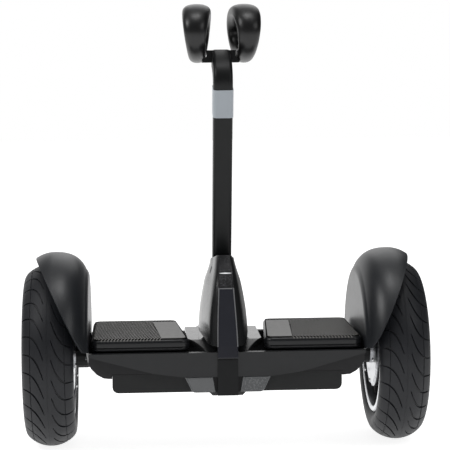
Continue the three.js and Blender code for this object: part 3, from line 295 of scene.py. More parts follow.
def smooth_line(points, steps):
    """Catmull-Rom curve through the points, with that many steps between each pair."""
    made = []
    for i in range(len(points) - 1):
        before = Vector(points[max(i - 1, 0)])
        a = Vector(points[i])
        b = Vector(points[i + 1])
        after = Vector(points[min(i + 2, len(points) - 1)])
        for k in range(steps):
            t = k / steps
            made.append(0.5 * (2 * a + (b - before) * t + (2 * before - 5 * a + 4 * b - after) * t ** 2
                               + (3 * a - before - 3 * b + after) * t ** 3))
    made.append(Vector(points[-1]))
    return made


def evenly(line, step):
    """Points along a line at about that spacing."""
    lengths = [0.0]
    for a, b in zip(line, line[1:]):
        lengths.append(lengths[-1] + (b - a).length)
    count = max(2, round(lengths[-1] / step))
    made = []
    k = 0
    for i in range(count + 1):
        goal = lengths[-1] * i / count
        while k < len(lengths) - 2 and lengths[k + 1] < goal:
            k += 1
        share = (goal - lengths[k]) / max(lengths[k + 1] - lengths[k], 1e-12)
        made.append(line[k].lerp(line[k + 1], min(share, 1.0)))
    return made


def softened(points, rounds):
    """Cuts the corners of a line of points over and over, until it is a smooth curve."""
    for _ in range(rounds):
        made = [points[0]]
        for a, b in zip(points, points[1:]):
            made += [a.lerp(b, 0.25), a.lerp(b, 0.75)]
        made.append(points[-1])
        points = made
    return points


def corner_arc(a, b, radius, start, end, steps):
    """Points of an arc about (a, b), from one angle in degrees to another."""
    angles = [math.radians(angle) for angle in spaced(start, end, steps)]
    return [(a + radius * math.cos(angle), b + radius * math.sin(angle)) for angle in angles]


def edge_round(steps):
    """Rise and tuck of a round edge, as shares of its radius, from above its foot to its top."""
    angles = [math.radians(angle) for angle in spaced(0, 90, steps)[1:]]
    return [(math.sin(angle), 1 - math.cos(angle)) for angle in angles]


def ramp(value, low, high):
    """0 up to low, 1 from high on, and evenly between them."""
    return min(max((value - low) / (high - low), 0.0), 1.0)


def finished(piece, body, look, replaces=()):
    """Gives a piece its look, its body and the CAD nodes that it stands for."""
    piece.data.materials.clear()
    piece.data.materials.append(looks[look])
    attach(piece, body)
    if replaces:
        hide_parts(*replaces)
    return piece


# Materials

def wired(tree, kind, inputs, output=None, **settings):
    """Adds a shader node. Each input is a constant, or the output of the node that feeds it."""
    made = tree.nodes.new(kind)
    for setting, value in settings.items():
        setattr(made, setting, value)
    for socket, value in inputs.items():
        if isinstance(value, bpy.types.NodeSocket):
            tree.links.new(value, made.inputs[socket])
        else:
            made.inputs[socket].default_value = value
    return made.outputs[output] if output else made


def object_space(tree):
    return wired(tree, "ShaderNodeTexCoord", {}, "Object")


def mixed(tree, factor, a, b):
    """Mixes two colours, each a constant or an output."""
    a, b = ((*c, 1) if isinstance(c, (list, tuple)) else c for c in (a, b))
    return wired(tree, "ShaderNodeMix", {"Factor": factor, "A": a, "B": b}, "Result", data_type="RGBA")


def mapped(tree, value, start, end, low=0.0, high=1.0, smooth=False):
    """Maps a range of a value to another range, and holds it at both ends."""
    inputs = {"Value": value, "From Min": start, "From Max": end, "To Min": low, "To Max": high}
    kind = "SMOOTHSTEP" if smooth else "LINEAR"
    return wired(tree, "ShaderNodeMapRange", inputs, "Result", interpolation_type=kind)


def color_feed(shader):
    return shader.inputs["Base Color"].links[0].from_socket


def surface(name, color, roughness, metallic=0.0, specular=0.5, blotch=0.12, blotch_scale=30.0,
            grain=(0.0001, 900.0), grain_strength=0.25, rough_spread=0.06,
            wear=0.0, coat=0.0, sheen=0.0, cells=False, emission=0.0):
    """A procedural finish: colour that drifts over the surface, uneven gloss, edge wear, and grain as bump.

    The grain is a pair: the depth of the bumps and how fine they are.
    """
    look = bpy.data.materials.new(name)
    look.use_nodes = True
    tree = look.node_tree
    shader = tree.nodes["Principled BSDF"]
    shader.inputs["Metallic"].default_value = metallic
    shader.inputs["Specular IOR Level"].default_value = specular
    shader.inputs["Coat Weight"].default_value = coat
    shader.inputs["Coat Roughness"].default_value = 0.06
    shader.inputs["Sheen Weight"].default_value = sheen
    shader.inputs["Sheen Roughness"].default_value = 0.4
    place = object_space(tree)

    def noise(scale, detail):
        return wired(tree, "ShaderNodeTexNoise", {"Scale": scale, "Detail": detail, "Vector": place}, "Fac")

    colored = mixed(tree, noise(blotch_scale, 3.0), [c * (1 - blotch) for c in color],
                    [c * (1 + blotch) for c in color])
    if wear:
        corners = wired(tree, "ShaderNodeNewGeometry", {}, "Pointiness")
        colored = mixed(tree, mapped(tree, corners, 0.53, 0.62, high=wear), colored,
                        [min(c * 2.2 + 0.02, 1) for c in color])
    tree.links.new(colored, shader.inputs["Base Color"])
    uneven = mapped(tree, noise(blotch_scale * 2.7, 4.0), 0.0, 1.0,
                    max(roughness - rough_spread, 0.02), min(roughness + rough_spread, 1.0))
    tree.links.new(uneven, shader.inputs["Roughness"])
    depth, scale = grain
    if cells:
        height = wired(tree, "ShaderNodeTexVoronoi", {"Scale": scale, "Vector": place}, "Distance")
    else:
        height = noise(scale, 2.0)
    bump = wired(tree, "ShaderNodeBump", {"Strength": grain_strength, "Distance": depth, "Height": height},
                 "Normal")
    tree.links.new(bump, shader.inputs["Normal"])
    if emission:
        shader.inputs["Emission Color"].default_value = (*color, 1)
        shader.inputs["Emission Strength"].default_value = emission
    return look


def speckled(name, dark, light, roughness, cell_scale, share, coat=0.0, bump_depth=0.0002):
    """A moulded window or panel whose facets catch the light: painted highlights, light cells on a dark
    ground.
    """
    look = surface(name, dark, roughness, coat=coat, grain=(bump_depth, cell_scale),
                   grain_strength=0.5, cells=True, specular=0.35)
    tree = look.node_tree
    shader = tree.nodes["Principled BSDF"]
    scatter = wired(tree, "ShaderNodeTexVoronoi", {"Scale": cell_scale * 0.8, "Vector": object_space(tree)},
                    "Color")
    chance = wired(tree, "ShaderNodeSeparateColor", {"Color": scatter}, "Red")
    # Painted highlights: the light cells go into the base colour.
    painted_glint = mixed(tree, mapped(tree, chance, 1 - share, 1.0), color_feed(shader), light)
    tree.links.new(painted_glint, shader.inputs["Base Color"])
    return look


def brushed(name, centre):
    """Bright turned metal, its streaks running out from the centre."""
    look = surface(name, (0.60, 0.61, 0.63), 0.30, metallic=1.0, blotch=0.06,
                   grain=(0.00004, 1500))
    tree = look.node_tree
    shader = tree.nodes["Principled BSDF"]
    from_centre = wired(tree, "ShaderNodeVectorMath", {0: object_space(tree), 1: centre}, "Vector",
                        operation="SUBTRACT")
    split = wired(tree, "ShaderNodeSeparateXYZ", {"Vector": from_centre})
    turn = wired(tree, "ShaderNodeMath", {0: split.outputs["Y"], 1: split.outputs["Z"]}, "Value",
                 operation="ARCTAN2")
    streaks = wired(tree, "ShaderNodeTexNoise", {"Scale": 14.0, "Detail": 4.0, "W": turn}, "Fac",
                    noise_dimensions="1D")
    shade = mapped(tree, streaks, 0.35, 0.65, low=0.55)
    streaked = mixed(tree, shade, (0.10, 0.10, 0.11), color_feed(shader))
    tree.links.new(streaked, shader.inputs["Base Color"])
    return look


looks = {
    "tyre": surface("tyre_rubber", (0.011, 0.012, 0.015), 0.5, specular=0.35, blotch=0.25, blotch_scale=22,
                    grain=(0.0003, 1400), rough_spread=0.1, wear=0.15),
    "rim": surface("rim_alloy", (0.62, 0.63, 0.65), 0.3, metallic=1.0, blotch=0.05, grain=(0.00005, 1200),
                   wear=0.2),
    "spider": surface("spider_paint", (0.012, 0.012, 0.013), 0.42, metallic=0.2, specular=0.3,
                      grain=(0.0001, 1500), wear=0.3),
    "frame": surface("frame_paint", (0.008, 0.008, 0.009), 0.5, specular=0.3, blotch=0.2,
                     grain=(0.0002, 700), wear=0.25),
    "cast": surface("cast_alloy", (0.045, 0.047, 0.050), 0.5, metallic=0.6, blotch=0.2, grain=(0.0002, 700),
                    wear=0.25),
    "steel": surface("steel", (0.56, 0.56, 0.57), 0.28, metallic=1.0, blotch=0.08, grain=(0.00005, 2000),
                     wear=0.1),
    "copper": surface("copper", (0.45, 0.20, 0.08), 0.35, metallic=0.8, blotch=0.3, grain=(0.0003, 1600)),
    "plate": surface("plate_grain", (0.007, 0.007, 0.0075), 0.85, specular=0.0, blotch=0.2,
                     grain=(0.0002, 1200)),
    "panel": surface("satin_panel", (0.0065, 0.0070, 0.0080), 0.36, specular=0.33, blotch=0.15,
                     grain=(0.00006, 1800), wear=0.3),
    "wing": surface("satin_wing", (0.016, 0.0165, 0.017), 0.19, specular=0.9, blotch=0.12,
                    grain=(0.00003, 2000), wear=0.2),
    # A darker, duller copy of the wing look: painted shade for the wings' front slopes.
    "wing_slope_painted_shade": surface("satin_wing_slope", (0.013, 0.0135, 0.014), 0.38, specular=0.22, blotch=0.12,
                          grain=(0.00003, 2000), wear=0.2),
    "cover": surface("satin_cover", (0.011, 0.0115, 0.012), 0.24, specular=0.5, blotch=0.1,
                     grain=(0.00002, 2200), rough_spread=0.03, wear=0.15),
    "shaded": surface("shaded_cover", (0.011, 0.0115, 0.012), 0.45, specular=0.06, blotch=0.1,
                      grain=(0.00002, 2200), rough_spread=0.03, wear=0.15),
    "matt": surface("matt_plastic", (0.008, 0.0085, 0.009), 0.55, specular=0.3, blotch=0.15,
                    grain=(0.00015, 1500), wear=0.2),
    "gloss": surface("gloss_strip", (0.025, 0.026, 0.033), 0.12, specular=0.35, blotch=0.1,
                     grain=(0.00002, 400), rough_spread=0.02, coat=0.3),
    "fender": surface("fender_plastic", (0.012, 0.0135, 0.016), 0.36, specular=0.5, blotch=0.1,
                      grain=(0.00002, 1700), rough_spread=0.03, wear=0.12),
    # Rib tops and the smooth patch are paler than the mat's rim: painted sheen, the rubber's grazing
    # reflection.
    "mat_top_painted_sheen": surface("mat_rubber", (0.095, 0.091, 0.086), 0.46, specular=0.4, blotch=0.15,
                       blotch_scale=60, grain=(0.0002, 1300), wear=0.15),
    "mat_patch": surface("mat_smooth_rubber_painted_sheen", (0.060, 0.058, 0.055), 0.40, specular=0.35, blotch=0.12,
                         blotch_scale=60, grain=(0.0001, 1300), wear=0.15),
    # Near black ground between the ribs and on their sides: painted shade.
    "mat_ground_painted_shade": surface("mat_ground_rubber", (0.007, 0.007, 0.007), 0.8, specular=0.0, blotch=0.15,
                          blotch_scale=60, grain=(0.0002, 1300)),
    "mat_edge": surface("mat_rubber_edge", (0.009, 0.0095, 0.011), 0.32, specular=0.4, blotch=0.1,
                        grain=(0.00008, 1300)),
    "pad": surface("pad_rubber", (0.005, 0.005, 0.0055), 0.34, specular=0.45, blotch=0.15,
                   grain=(0.0001, 1100), sheen=0.02),
    "stem": surface("stem_paint", (0.0055, 0.006, 0.0065), 0.42, specular=0.25, blotch=0.12,
                    grain=(0.00012, 1900), wear=0.1),
    "label": surface("plain_film", (0.50, 0.545, 0.59), 0.4, specular=0.4, blotch=0.02,
                     grain=(0.00003, 900), rough_spread=0.03),
    "lens_left": surface("smoked_lens", (0.062, 0.066, 0.070), 0.2, blotch=0.35, blotch_scale=16,
                         grain=(0.00006, 500), coat=0.5),
    # The right lamp lens and the tail lenses carry painted highlights; the left lamp lens has none.
    "lens_right": speckled("speckled_lens_painted_glints", (0.050, 0.054, 0.058), (0.12, 0.125, 0.13), 0.22, 900, 0.45,
                           coat=0.5),
    "tail": speckled("red_lens_painted_glints", (0.10, 0.006, 0.008), (0.18, 0.012, 0.014), 0.22, 700, 0.5, coat=0.5),
    "keel": surface("keel_satin", (0.006, 0.0065, 0.007), 0.35, specular=0.15, blotch=0.15,
                    grain=(0.00003, 1500), wear=0.15),
    # Light grey rims round the lamp windows: painted highlights of their edges.
    "highlight_bezel": surface("lamp_bezel", (0.11, 0.115, 0.12), 0.25, specular=0.6, blotch=0.1,
                     grain=(0.00003, 800)),
    "light_guide": surface("light_guide", (0.86, 0.88, 0.90), 0.2, blotch=0.02, emission=0.35),
    # Light grey beads along the front strip's edges: painted highlights of its bevelled edges.
    "highlight_trim": surface("strip_trim", (0.15, 0.153, 0.16), 0.22, specular=0.6, blotch=0.1,
                    grain=(0.00003, 800)),
    # The grip panel's light cells are painted highlights too.
    "grip": speckled("speckled_grip_painted_glints", (0.005, 0.005, 0.006), (0.06, 0.06, 0.066), 0.45, 1000, 0.3,
                     bump_depth=0.0005),
    "cells": surface("cell_wrap", (0.05, 0.16, 0.38), 0.35, specular=0.5, blotch=0.1, grain=(0.00005, 500)),
    "board": surface("circuit_board", (0.01, 0.10, 0.04), 0.4, blotch=0.3, blotch_scale=200,
                     grain=(0.0002, 800)),
}


# Tyres, with the tread cut as geometry

def sipe_share(x, radius, outside):
    """How far out along a sipe a place of the section is. Below the tread it is at the sipe's end."""
    if radius < WALL_RADIUS or not outside:
        return 1.0
    return ramp(abs(x) / TYRE_HALF, SIPE_START_SHARE, SIPE_END_SHARE)


def sipe_drop(share):
    """How far round the tyre a sipe has run at a share of its way out."""
    return SIPE_DROP * (1 - (1 - share) ** 3)


def sipe_slope(share):
    return 3 * SIPE_DROP * (1 - share) ** 2 / (TYRE_HALF * (SIPE_END_SHARE - SIPE_START_SHARE))


def tyre_section():
    """Half of the outer section as (x, radius), from the crown's middle to the rim flange."""
    shares = OUTER_SHARES[::-1]
    wall = [Vector((TYRE_HALF * across, SHOULDER_RADIUS + TREAD_HEIGHT * up)) for across, up in shares]
    line = smooth_line(wall, SECTION_STEPS)
    split = next(i for i, p in enumerate(line) if p.y < CROWN_RADIUS)
    crown = evenly(line[:split], ROW_STEP)
    crown = [p for p in crown if abs(p.x - LINE_X) > LINE_WIDTH and p.x > LINE_WIDTH]
    rows = [LINE_WIDTH * share for share in CENTRE_ROW_SHARES]
    rows += [LINE_X + LINE_WIDTH * share for share in LINE_ROW_SHARES]
    for x in rows:
        k = next(i for i, p in enumerate(line) if p.x >= x)
        a, b = line[max(k - 1, 0)], line[max(k, 1)]
        crown.append(a.lerp(b, (x - a.x) / (b.x - a.x)))
    crown.sort(key=lambda p: p.x)
    return crown + evenly(line[split:], WALL_STEP)


def tyre_profile():
    """The tyre's closed section, and how many of its points are outside."""
    half = tyre_section()
    outside = [(-p.x, p.y) for p in half[:0:-1]] + [(p.x, p.y) for p in half]
    inside = [(BEAD_HALF, SHOULDER_RADIUS), (BEAD_HALF, BEAD_RADIUS), (BEAD_HALF - TYRE_WALL, BEAD_RADIUS)]
    inside += [(TYRE_HALF * across, SHOULDER_RADIUS + TREAD_HEIGHT * up) for across, up in HOLLOW_SHARES]
    return outside + inside + [(-x, r) for x, r in inside[::-1]], len(outside)


def tread_columns():
    """Columns round the tyre: across each sipe, then over the land to the next one."""
    columns = []
    for n in range(SIPE_COUNT):
        columns += [(n, "sipe", share) for share in SIPE_ACROSS_SHARES]
        columns += [(n, "land", k / (LANDS + 1)) for k in range(1, LANDS + 1)]
    return columns


def tread_angle(column, x, radius, share, outside):
    """Angle at which a column crosses the section. Below the tread the sipes' sweep fades out."""
    n, kind, across = column
    shift = math.copysign(sipe_drop(share), x) / TYRE_RADIUS if x else 0.0
    if not outside:
        shift = 0.0
    elif radius < WALL_RADIUS:
        shift *= ramp(radius, SHOULDER_RADIUS, WALL_RADIUS)
    swell = SIPE_NARROW_SHARE + (1 - SIPE_NARROW_SHARE) * math.sin(math.pi * share) ** SIPE_SWELL_POWER
    half_width = SIPE_WIDTH / 2 * swell * math.sqrt(1 + sipe_slope(share) ** 2) / TYRE_RADIUS
    if kind == "sipe":
        return n * SIPE_PITCH + shift + across * half_width
    return n * SIPE_PITCH + shift + half_width + (SIPE_PITCH - 2 * half_width) * across


def tread_depth(column, x, radius, share):
    """Depth of the tread at a place: the lines that run round the tyre, and the sipes."""
    depth = 0.0
    if radius >= CROWN_RADIUS and abs(abs(x) - LINE_X) < LINE_WIDTH / 2:
        depth = LINE_DEPTH
    elif radius >= CROWN_RADIUS and abs(x) < LINE_WIDTH * CENTRE_LINE_SHARE:
        depth = CENTRE_LINE_DEPTH
    _, kind, across = column
    if kind == "land" or abs(across) == 1:
        return depth
    start, end = SIPE_FADE_SHARES
    return max(depth, SIPE_DEPTH * ramp(share, 0.0, start) * ramp(1 - share, 0.0, end))


def tyre(name):
    profile, outer = tyre_profile()
    rows = []
    for column in tread_columns():
        ring = []
        for i, (x, radius) in enumerate(profile):
            outside = i < outer
            share = sipe_share(x, radius, outside)
            angle = tread_angle(column, x, radius, share, outside)
            depth = tread_depth(column, x, radius, share) if outside else 0.0
            if depth:
                run = (Vector(profile[i + 1]) - Vector(profile[max(i - 1, 0)])).normalized()
                x = min(max(x + run.y * depth, -TYRE_HALF), TYRE_HALF)
                radius -= run.x * depth
            ring.append((x, -radius * math.sin(angle), radius * math.cos(angle)))
        rows.append(ring)
    return lofted(name, rows, closed_rows=True, smooth_angle=38)


# Rims: a bright barrel and a dark cast spider that carries the motor shell

def rim_barrel(name):
    """The barrel and its flanges. Its middle rings are there for the edge wear, which is per point."""
    lip = (RIM_LIP - BARREL_INNER) / 3
    half = [
        (BARREL_INNER, BARREL_RING_HALF),
        (BARREL_INNER, FLANGE_SEAT - lip), (BARREL_INNER + lip / 2, FLANGE_EDGE - lip / 3),
        (BARREL_INNER + lip, FLANGE_EDGE), (RIM_LIP - lip / 2, FLANGE_EDGE),
        (RIM_LIP, FLANGE_EDGE - lip / 2), (RIM_LIP, FLANGE_SEAT + lip / 6),
        (RIM_LIP - lip / 6, FLANGE_SEAT), (BARREL_RADIUS, FLANGE_SEAT),
        (BARREL_RADIUS, BARREL_RING_HALF),
    ]
    return turned(name, half + [(r, -x) for r, x in half[::-1]], smooth_angle=30)


def spoke_outline():
    """Outline of a spoke that points up, forked at its outer end, as (y, z)."""
    start = SHELL_RADIUS - SPOKE_ROOT
    end = BARREL_INNER + SPOKE_SINK
    half = SPOKE_WIDTH / 2
    fork = SPOKE_FORK_START
    crotch = fork + SPOKE_WIDTH
    right = [
        (half * 1.25, start), (half, fork - SPOKE_FORK_ROUND), (half * 1.1, fork),
        (SPOKE_FORK * 0.6 + half, (fork + end - SPOKE_FORK_ROUND) / 2), (SPOKE_FORK + half * 1.2, end),
        (SPOKE_FORK - half * 0.8, end), (SPOKE_FORK * 0.35, crotch + SPOKE_FORK_ROUND),
    ]
    return right + [(0.0, crotch - SPOKE_FORK_ROUND / 2)] + [(-a, b) for a, b in right[::-1]]


def rim_spider(name):
    """The motor's shell with its forked spokes."""
    face = SHELL_OUTER_FACE
    step = SHELL_STEP
    edge = SHELL_STEP / 3
    inner = SHELL_RADIUS - SHELL_WALL
    shell = spun(name, [
        (step, face - SHELL_WALL), (inner, face - SHELL_WALL), (inner, SHELL_INNER_FACE),
        (SHELL_RADIUS, SHELL_INNER_FACE), (SHELL_RADIUS, face - step * 5),
        (SHELL_RADIUS - edge, face - step * 3), (SHELL_RADIUS - step, face - step),
        (SHELL_RADIUS - step * 3, face - edge),
        (SHELL_RING_RADIUS + edge, face - edge), (SHELL_RING_RADIUS - edge, face - step),
        (SHELL_BOSS_RADIUS + edge, face - step), (SHELL_BOSS_RADIUS - edge, face), (step, face),
    ], smooth_angle=30)
    for turn in around(SPOKE_COUNT):
        spoke = slab_object("spoke", spoke_outline(), SPOKE_INNER_FACE, SPOKE_OUTER_FACE)
        apply_modifiers(rounded(spoke, SPOKE_ROUNDING, 3, 50))
        turned_about_x(spoke, SPOKE_PHASE + turn)
        combined(shell, "UNION", spoke)
    return shell


def cover_screws(name):
    """Domed screw heads with a hollow drive, round the inner face of the motor cover."""
    heads = []
    for turn in around(COVER_SCREWS):
        middle_y = -COVER_SCREW_REACH * math.sin(SPOKE_PHASE + turn)
        middle_z = COVER_SCREW_REACH * math.cos(SPOKE_PHASE + turn)
        rows = []
        for width, rise in COVER_SCREW_SHARES:
            x = -cover_face() - rise * COVER_SCREW_PROUD
            radius = width * COVER_SCREW_RADIUS
            rows.append([(x, middle_y + radius * math.sin(a), middle_z + radius * math.cos(a))
                         for a in around(COVER_SCREW_SIDES)])
        heads.append(rows)
    return lofts(name, heads, smooth_angle=45)


def cover_face():
    """Distance of the motor cover's inner face from the middle of the wheel."""
    return WHEEL_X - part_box("right_motor_cover")[0].x


def add_wheels():
    for side, sign in SIDES:
        body = f"{side}_wheel"
        rubber = shifted(tyre(f"{side}_tyre_tread"), sign * WHEEL_X, 0, AXLE_HEIGHT)
        finished(rubber, body, "tyre", [f"{side}_tyre"])
        barrel = rim_barrel(f"{side}_rim_barrel")
        spider = rim_spider(f"{side}_rim_spider")
        screws = cover_screws(f"{side}_cover_screws")
        for piece in (barrel, spider, screws):
            shifted(on_side(piece, sign), sign * WHEEL_X, 0, AXLE_HEIGHT)
        finished(barrel, body, "rim", [f"{side}_rim"])
        finished(spider, body, "spider")
        finished(screws, body, "steel")


# CAD nodes that keep their own shape, with rounded edges and a finish

kept = {
    "frame": (["chassis_frame"], []),
    "cast": (["steering_arm"], ["axle_clamp", "fender_screw"]),
    "steel": (["pivot_shaft", "arm_bushing"], ["magnet_ring", "wheel_bearing", "tyre_valve"]),
    "copper": ([], ["stator"]),
    "panel": (["front_panel", "rear_panel"], []),
    "matt": (["battery_case", "column_rear_strip", "charge_socket"], ["axle"]),
    "gloss": (["status_display"], []),
    "keel": (["front_keel_strip"], []),
    "mat_edge": (["centre_foot", "charge_cap", "centring_sleeve", "power_button"], ["mat_switch"]),
    "lens_left": (["left_lamp_lens"], []),
    "lens_right": (["right_lamp_lens"], []),
    "tail": ([], ["tail_lens"]),
    "cells": ([], ["battery_pack"]),
    "board": (["control_board"], []),
}
ROUNDING = 0.0009


def dress_kept_nodes():
    for look, (single, sided) in kept.items():
        names = single + [f"{side}_{name}" for name in sided for side, _ in SIDES]
        for name in names:
            node = nodes[name]
            node.data.materials.clear()
            node.data.materials.append(looks[look])
            node.data.shade_smooth()
            node.data.set_sharp_from_angle(angle=math.radians(32))
            rounded(node, ROUNDING, 2, 40)
    for side, _ in SIDES:
        node = nodes[f"{side}_motor_cover"]
        corners = [Vector(corner) for corner in node.bound_box]
        node.data.materials.clear()
        node.data.materials.append(brushed(f"{side}_brushed_alloy", sum(corners, Vector()) / len(corners)))
        rounded(node, ROUNDING, 2, 40)


# Deck cover: plate, the wings beside the column and the round ridge about the pivot

FRAME_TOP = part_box("deck_cover")[0].z
PLATE_THICKNESS = 0.003
PLATE_TOP = FRAME_TOP + PLATE_THICKNESS
WING_TOP = 0.1495
WING_HALF = 0.052
WING_PROW_HALF = 0.026
WING_PROW_Y = -0.098
WING_SHOULDER_Y = -0.035
WING_EDGE = 0.0018
WING_FOLD = -0.044
WING_FRONT_DROP = 0.0095
WING_DROP_POWER = 1.6
WING_REAR_RUN = 0.006
RIDGE_RADIUS = 0.0556
RIDGE_HALF = 0.040
RIDGE_FRONT = -0.036
RIDGE_FOOT = -0.050
ARM_SLOT_HALF = 0.022
ARM_SLOT_FRONT = -0.044
ARM_SLOT_REAR = 0.060
DECK_ROW_STEP = 0.0015
DECK_INNER_COLUMNS = 36
DECK_EDGE_COLUMNS = 8
DECK_OUTER_COLUMNS = 6
DECK_EDGE_POWER = 1.5


def wing_half(y):
    return WING_PROW_HALF + (WING_HALF - WING_PROW_HALF) * ramp(y, WING_PROW_Y, WING_SHOULDER_Y)


def deck_height(x, y, rear):
    """Height of the deck's top: the plate, the wings that curve down to the front, and the ridge."""
    top = WING_TOP - WING_FRONT_DROP * ramp(-y, -WING_FOLD, -WING_PROW_Y) ** WING_DROP_POWER
    edge = ramp(wing_half(y) - abs(x), 0.0, WING_EDGE)
    ends = min(ramp(rear - y, 0.0, WING_REAR_RUN), ramp(y, WING_PROW_Y - WING_EDGE, WING_PROW_Y))
    wing = PLATE_TOP + (top - PLATE_TOP) * math.sqrt(1 - (1 - edge) ** 2) * ends
    if abs(x) > RIDGE_HALF:
        return wing
    ridge = PIVOT_HEIGHT + math.sqrt(RIDGE_RADIUS ** 2 - x ** 2)
    crest = PIVOT_HEIGHT + RIDGE_RADIUS
    rise = PLATE_TOP + (crest - PLATE_TOP) * ramp(y, RIDGE_FOOT, RIDGE_FRONT)
    back = WING_TOP + (crest - WING_TOP) * ramp(rear - y, 0.0, WING_REAR_RUN)
    return max(wing, min(ridge, rise, back))


def deck_plate(name):
    low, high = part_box("deck_cover")
    rows = round((high.y - low.y) / DECK_ROW_STEP)
    inner, edges, outer = DECK_INNER_COLUMNS, DECK_EDGE_COLUMNS, DECK_OUTER_COLUMNS
    top, bottom = [], []
    for y in spaced(low.y, high.y, rows):
        half = wing_half(y)
        xs = spaced(0.0, half - WING_EDGE, inner)[:-1]
        xs += [half - WING_EDGE + WING_EDGE * (i / edges) ** DECK_EDGE_POWER for i in range(edges)]
        xs += spaced(half, high.x, outer)
        xs = [-x for x in xs[:0:-1]] + xs
        top.append([(x, y, deck_height(x, y, high.y)) for x in xs])
        bottom.append([(x, y, FRAME_TOP) for x in xs])
    plate = sheet_object(name, top, bottom, smooth_angle=35)
    slot = box_object("slot", (-ARM_SLOT_HALF, ARM_SLOT_FRONT, FRAME_TOP - WING_EDGE),
                      (ARM_SLOT_HALF, ARM_SLOT_REAR, high.z + WING_EDGE))
    return combined(plate, "DIFFERENCE", slot)


def add_deck():
    """The plate has its own look; the front slopes get a darker copy of the wing look, as painted shade."""
    plate = deck_plate("deck_skin")
    finished(plate, "chassis", "wing", ["deck_cover"])
    plate.data.materials.append(looks["plate"])
    plate.data.materials.append(looks["wing_slope_painted_shade"])
    for face in plate.data.polygons:
        if face.center.z < PLATE_TOP + SEAT_GAP:
            face.material_index = 1
        # Painted shade: faces ahead of the fold take the darker slope look.
        elif face.center.y < WING_FOLD:
            face.material_index = 2


# Fenders

FENDER_CROWN_X = 0.231
FENDER_CROWN_RADIUS = 0.142
FENDER_HOLLOW_RADIUS = 0.092
FENDER_WALL = 0.003
FENDER_LIP_X = 0.256
FENDER_SWEEP = 80
FENDER_EDGE_POWER = 1.8
FENDER_FULLNESS = 0.8
FENDER_EDGE_END = 84
FENDER_ROWS = 64
FENDER_COLUMNS = 60
FENDER_CREASE = 0.110
FENDER_CREASE_END = 0.118
FENDER_ROUNDING = 0.0011
TONGUE_HALF = 0.038
TONGUE_CORNER = 0.006
BODY_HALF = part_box("deck_cover")[1].x + SEAT_GAP


def fender_edge(angle):
    share = abs(angle) / FENDER_EDGE_END
    return FENDER_LIP_X - (FENDER_LIP_X - BODY_HALF) * share ** FENDER_EDGE_POWER


def fender_grid(inset):
    across = FENDER_CROWN_X - BODY_HALF
    rise = FENDER_CROWN_RADIUS - FENDER_HOLLOW_RADIUS
    grid = []
    for angle in spaced(-FENDER_SWEEP, FENDER_SWEEP, FENDER_ROWS):
        turn = math.radians(angle)
        edge_share = (FENDER_CROWN_X - fender_edge(angle)) / across
        end = math.acos(edge_share ** (1 / FENDER_FULLNESS) if edge_share > 0 else edge_share)
        line = []
        for bend in spaced(0.0, end, FENDER_COLUMNS):
            fullness = FENDER_FULLNESS if bend < math.pi / 2 else 1.0
            radius = FENDER_HOLLOW_RADIUS + (rise - inset) * math.sin(bend) ** fullness
            out = math.copysign(abs(math.cos(bend)) ** fullness, math.cos(bend))
            if bend < math.pi / 2:
                out = 1 - (1 - out) * ramp(radius + inset, FENDER_CREASE, FENDER_CREASE_END)
            line.append((FENDER_CROWN_X - (across - inset) * out,
                         -radius * math.sin(turn), AXLE_HEIGHT + radius * math.cos(turn)))
        grid.append(line)
    return grid


def fender_plate_outline():
    """Side plate under the arch, with a tongue that runs down the body."""
    radius = FENDER_HOLLOW_RADIUS + SEAT_GAP
    top = corner_arc(0, AXLE_HEIGHT, radius, 90 - FENDER_SWEEP, 90 + FENDER_SWEEP, FENDER_ROWS)
    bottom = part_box("right_fender")[0].z
    corner = TONGUE_CORNER
    left = corner_arc(-TONGUE_HALF + corner, bottom + corner, corner, 180, 270, 6)
    right = corner_arc(TONGUE_HALF - corner, bottom + corner, corner, 270, 360, 6)
    return top + left + right


def fender(name):
    arch = sheet_object(name, fender_grid(0.0), fender_grid(FENDER_WALL), smooth_angle=50)
    plate = slab_object("plate", fender_plate_outline(), BODY_HALF, BODY_HALF + FENDER_WALL)
    return rounded(combined(arch, "UNION", plate), FENDER_ROUNDING, 3, 55)


def add_fenders():
    for side, sign in SIDES:
        shell = on_side(fender(f"{side}_fender_shell"), sign)
        finished(shell, "chassis", "fender", [f"{side}_fender"])


# Foot mats: a smooth rim and inner patch round a field of slanting ribs

mat_low, mat_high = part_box("right_foot_mat")
MAT_TOP = mat_high.z
MAT_BOTTOM = mat_low.z
MAT_OUTER = mat_high.x
MAT_FRONT = mat_low.y
MAT_REAR = mat_high.y
MAT_INNER_FRONT = 0.050
MAT_INNER_REAR = 0.061
MAT_CORNER = 0.012
MAT_EDGE = 0.0055
MAT_STEP = 0.0005
RIB_HEIGHT = 0.0009
RIB_WIDTH = 0.0027
RIB_TOP_SHARE = 0.7
FIELD_RISE = 0.0002
RIB_PITCH = 0.0043
RIB_SLANT = 0.36
RIB_STEP = 0.0025
RIB_START_SHARE = 0.2
RIB_END_SHARE = 1.5
RIB_MARGIN = 0.004
PATCH_WIDTH = 0.037
PATCH_MARGIN = 0.0045
PATCH_STOP = 0.022
PATCH_REAR = MAT_REAR - PATCH_STOP


def mat_outline(inset, steps=10):
    radius = MAT_CORNER - inset
    corners = (
        (MAT_OUTER - MAT_CORNER, MAT_FRONT + MAT_CORNER, -90, 0),
        (MAT_OUTER - MAT_CORNER, MAT_REAR - MAT_CORNER, 0, 90),
        (MAT_INNER_REAR + MAT_CORNER, MAT_REAR - MAT_CORNER, 90, 180),
        (MAT_INNER_FRONT + MAT_CORNER, MAT_FRONT + MAT_CORNER, 180, 270),
    )
    return [p for x, y, a, b in corners for p in corner_arc(x, y, radius, a, b, steps)]


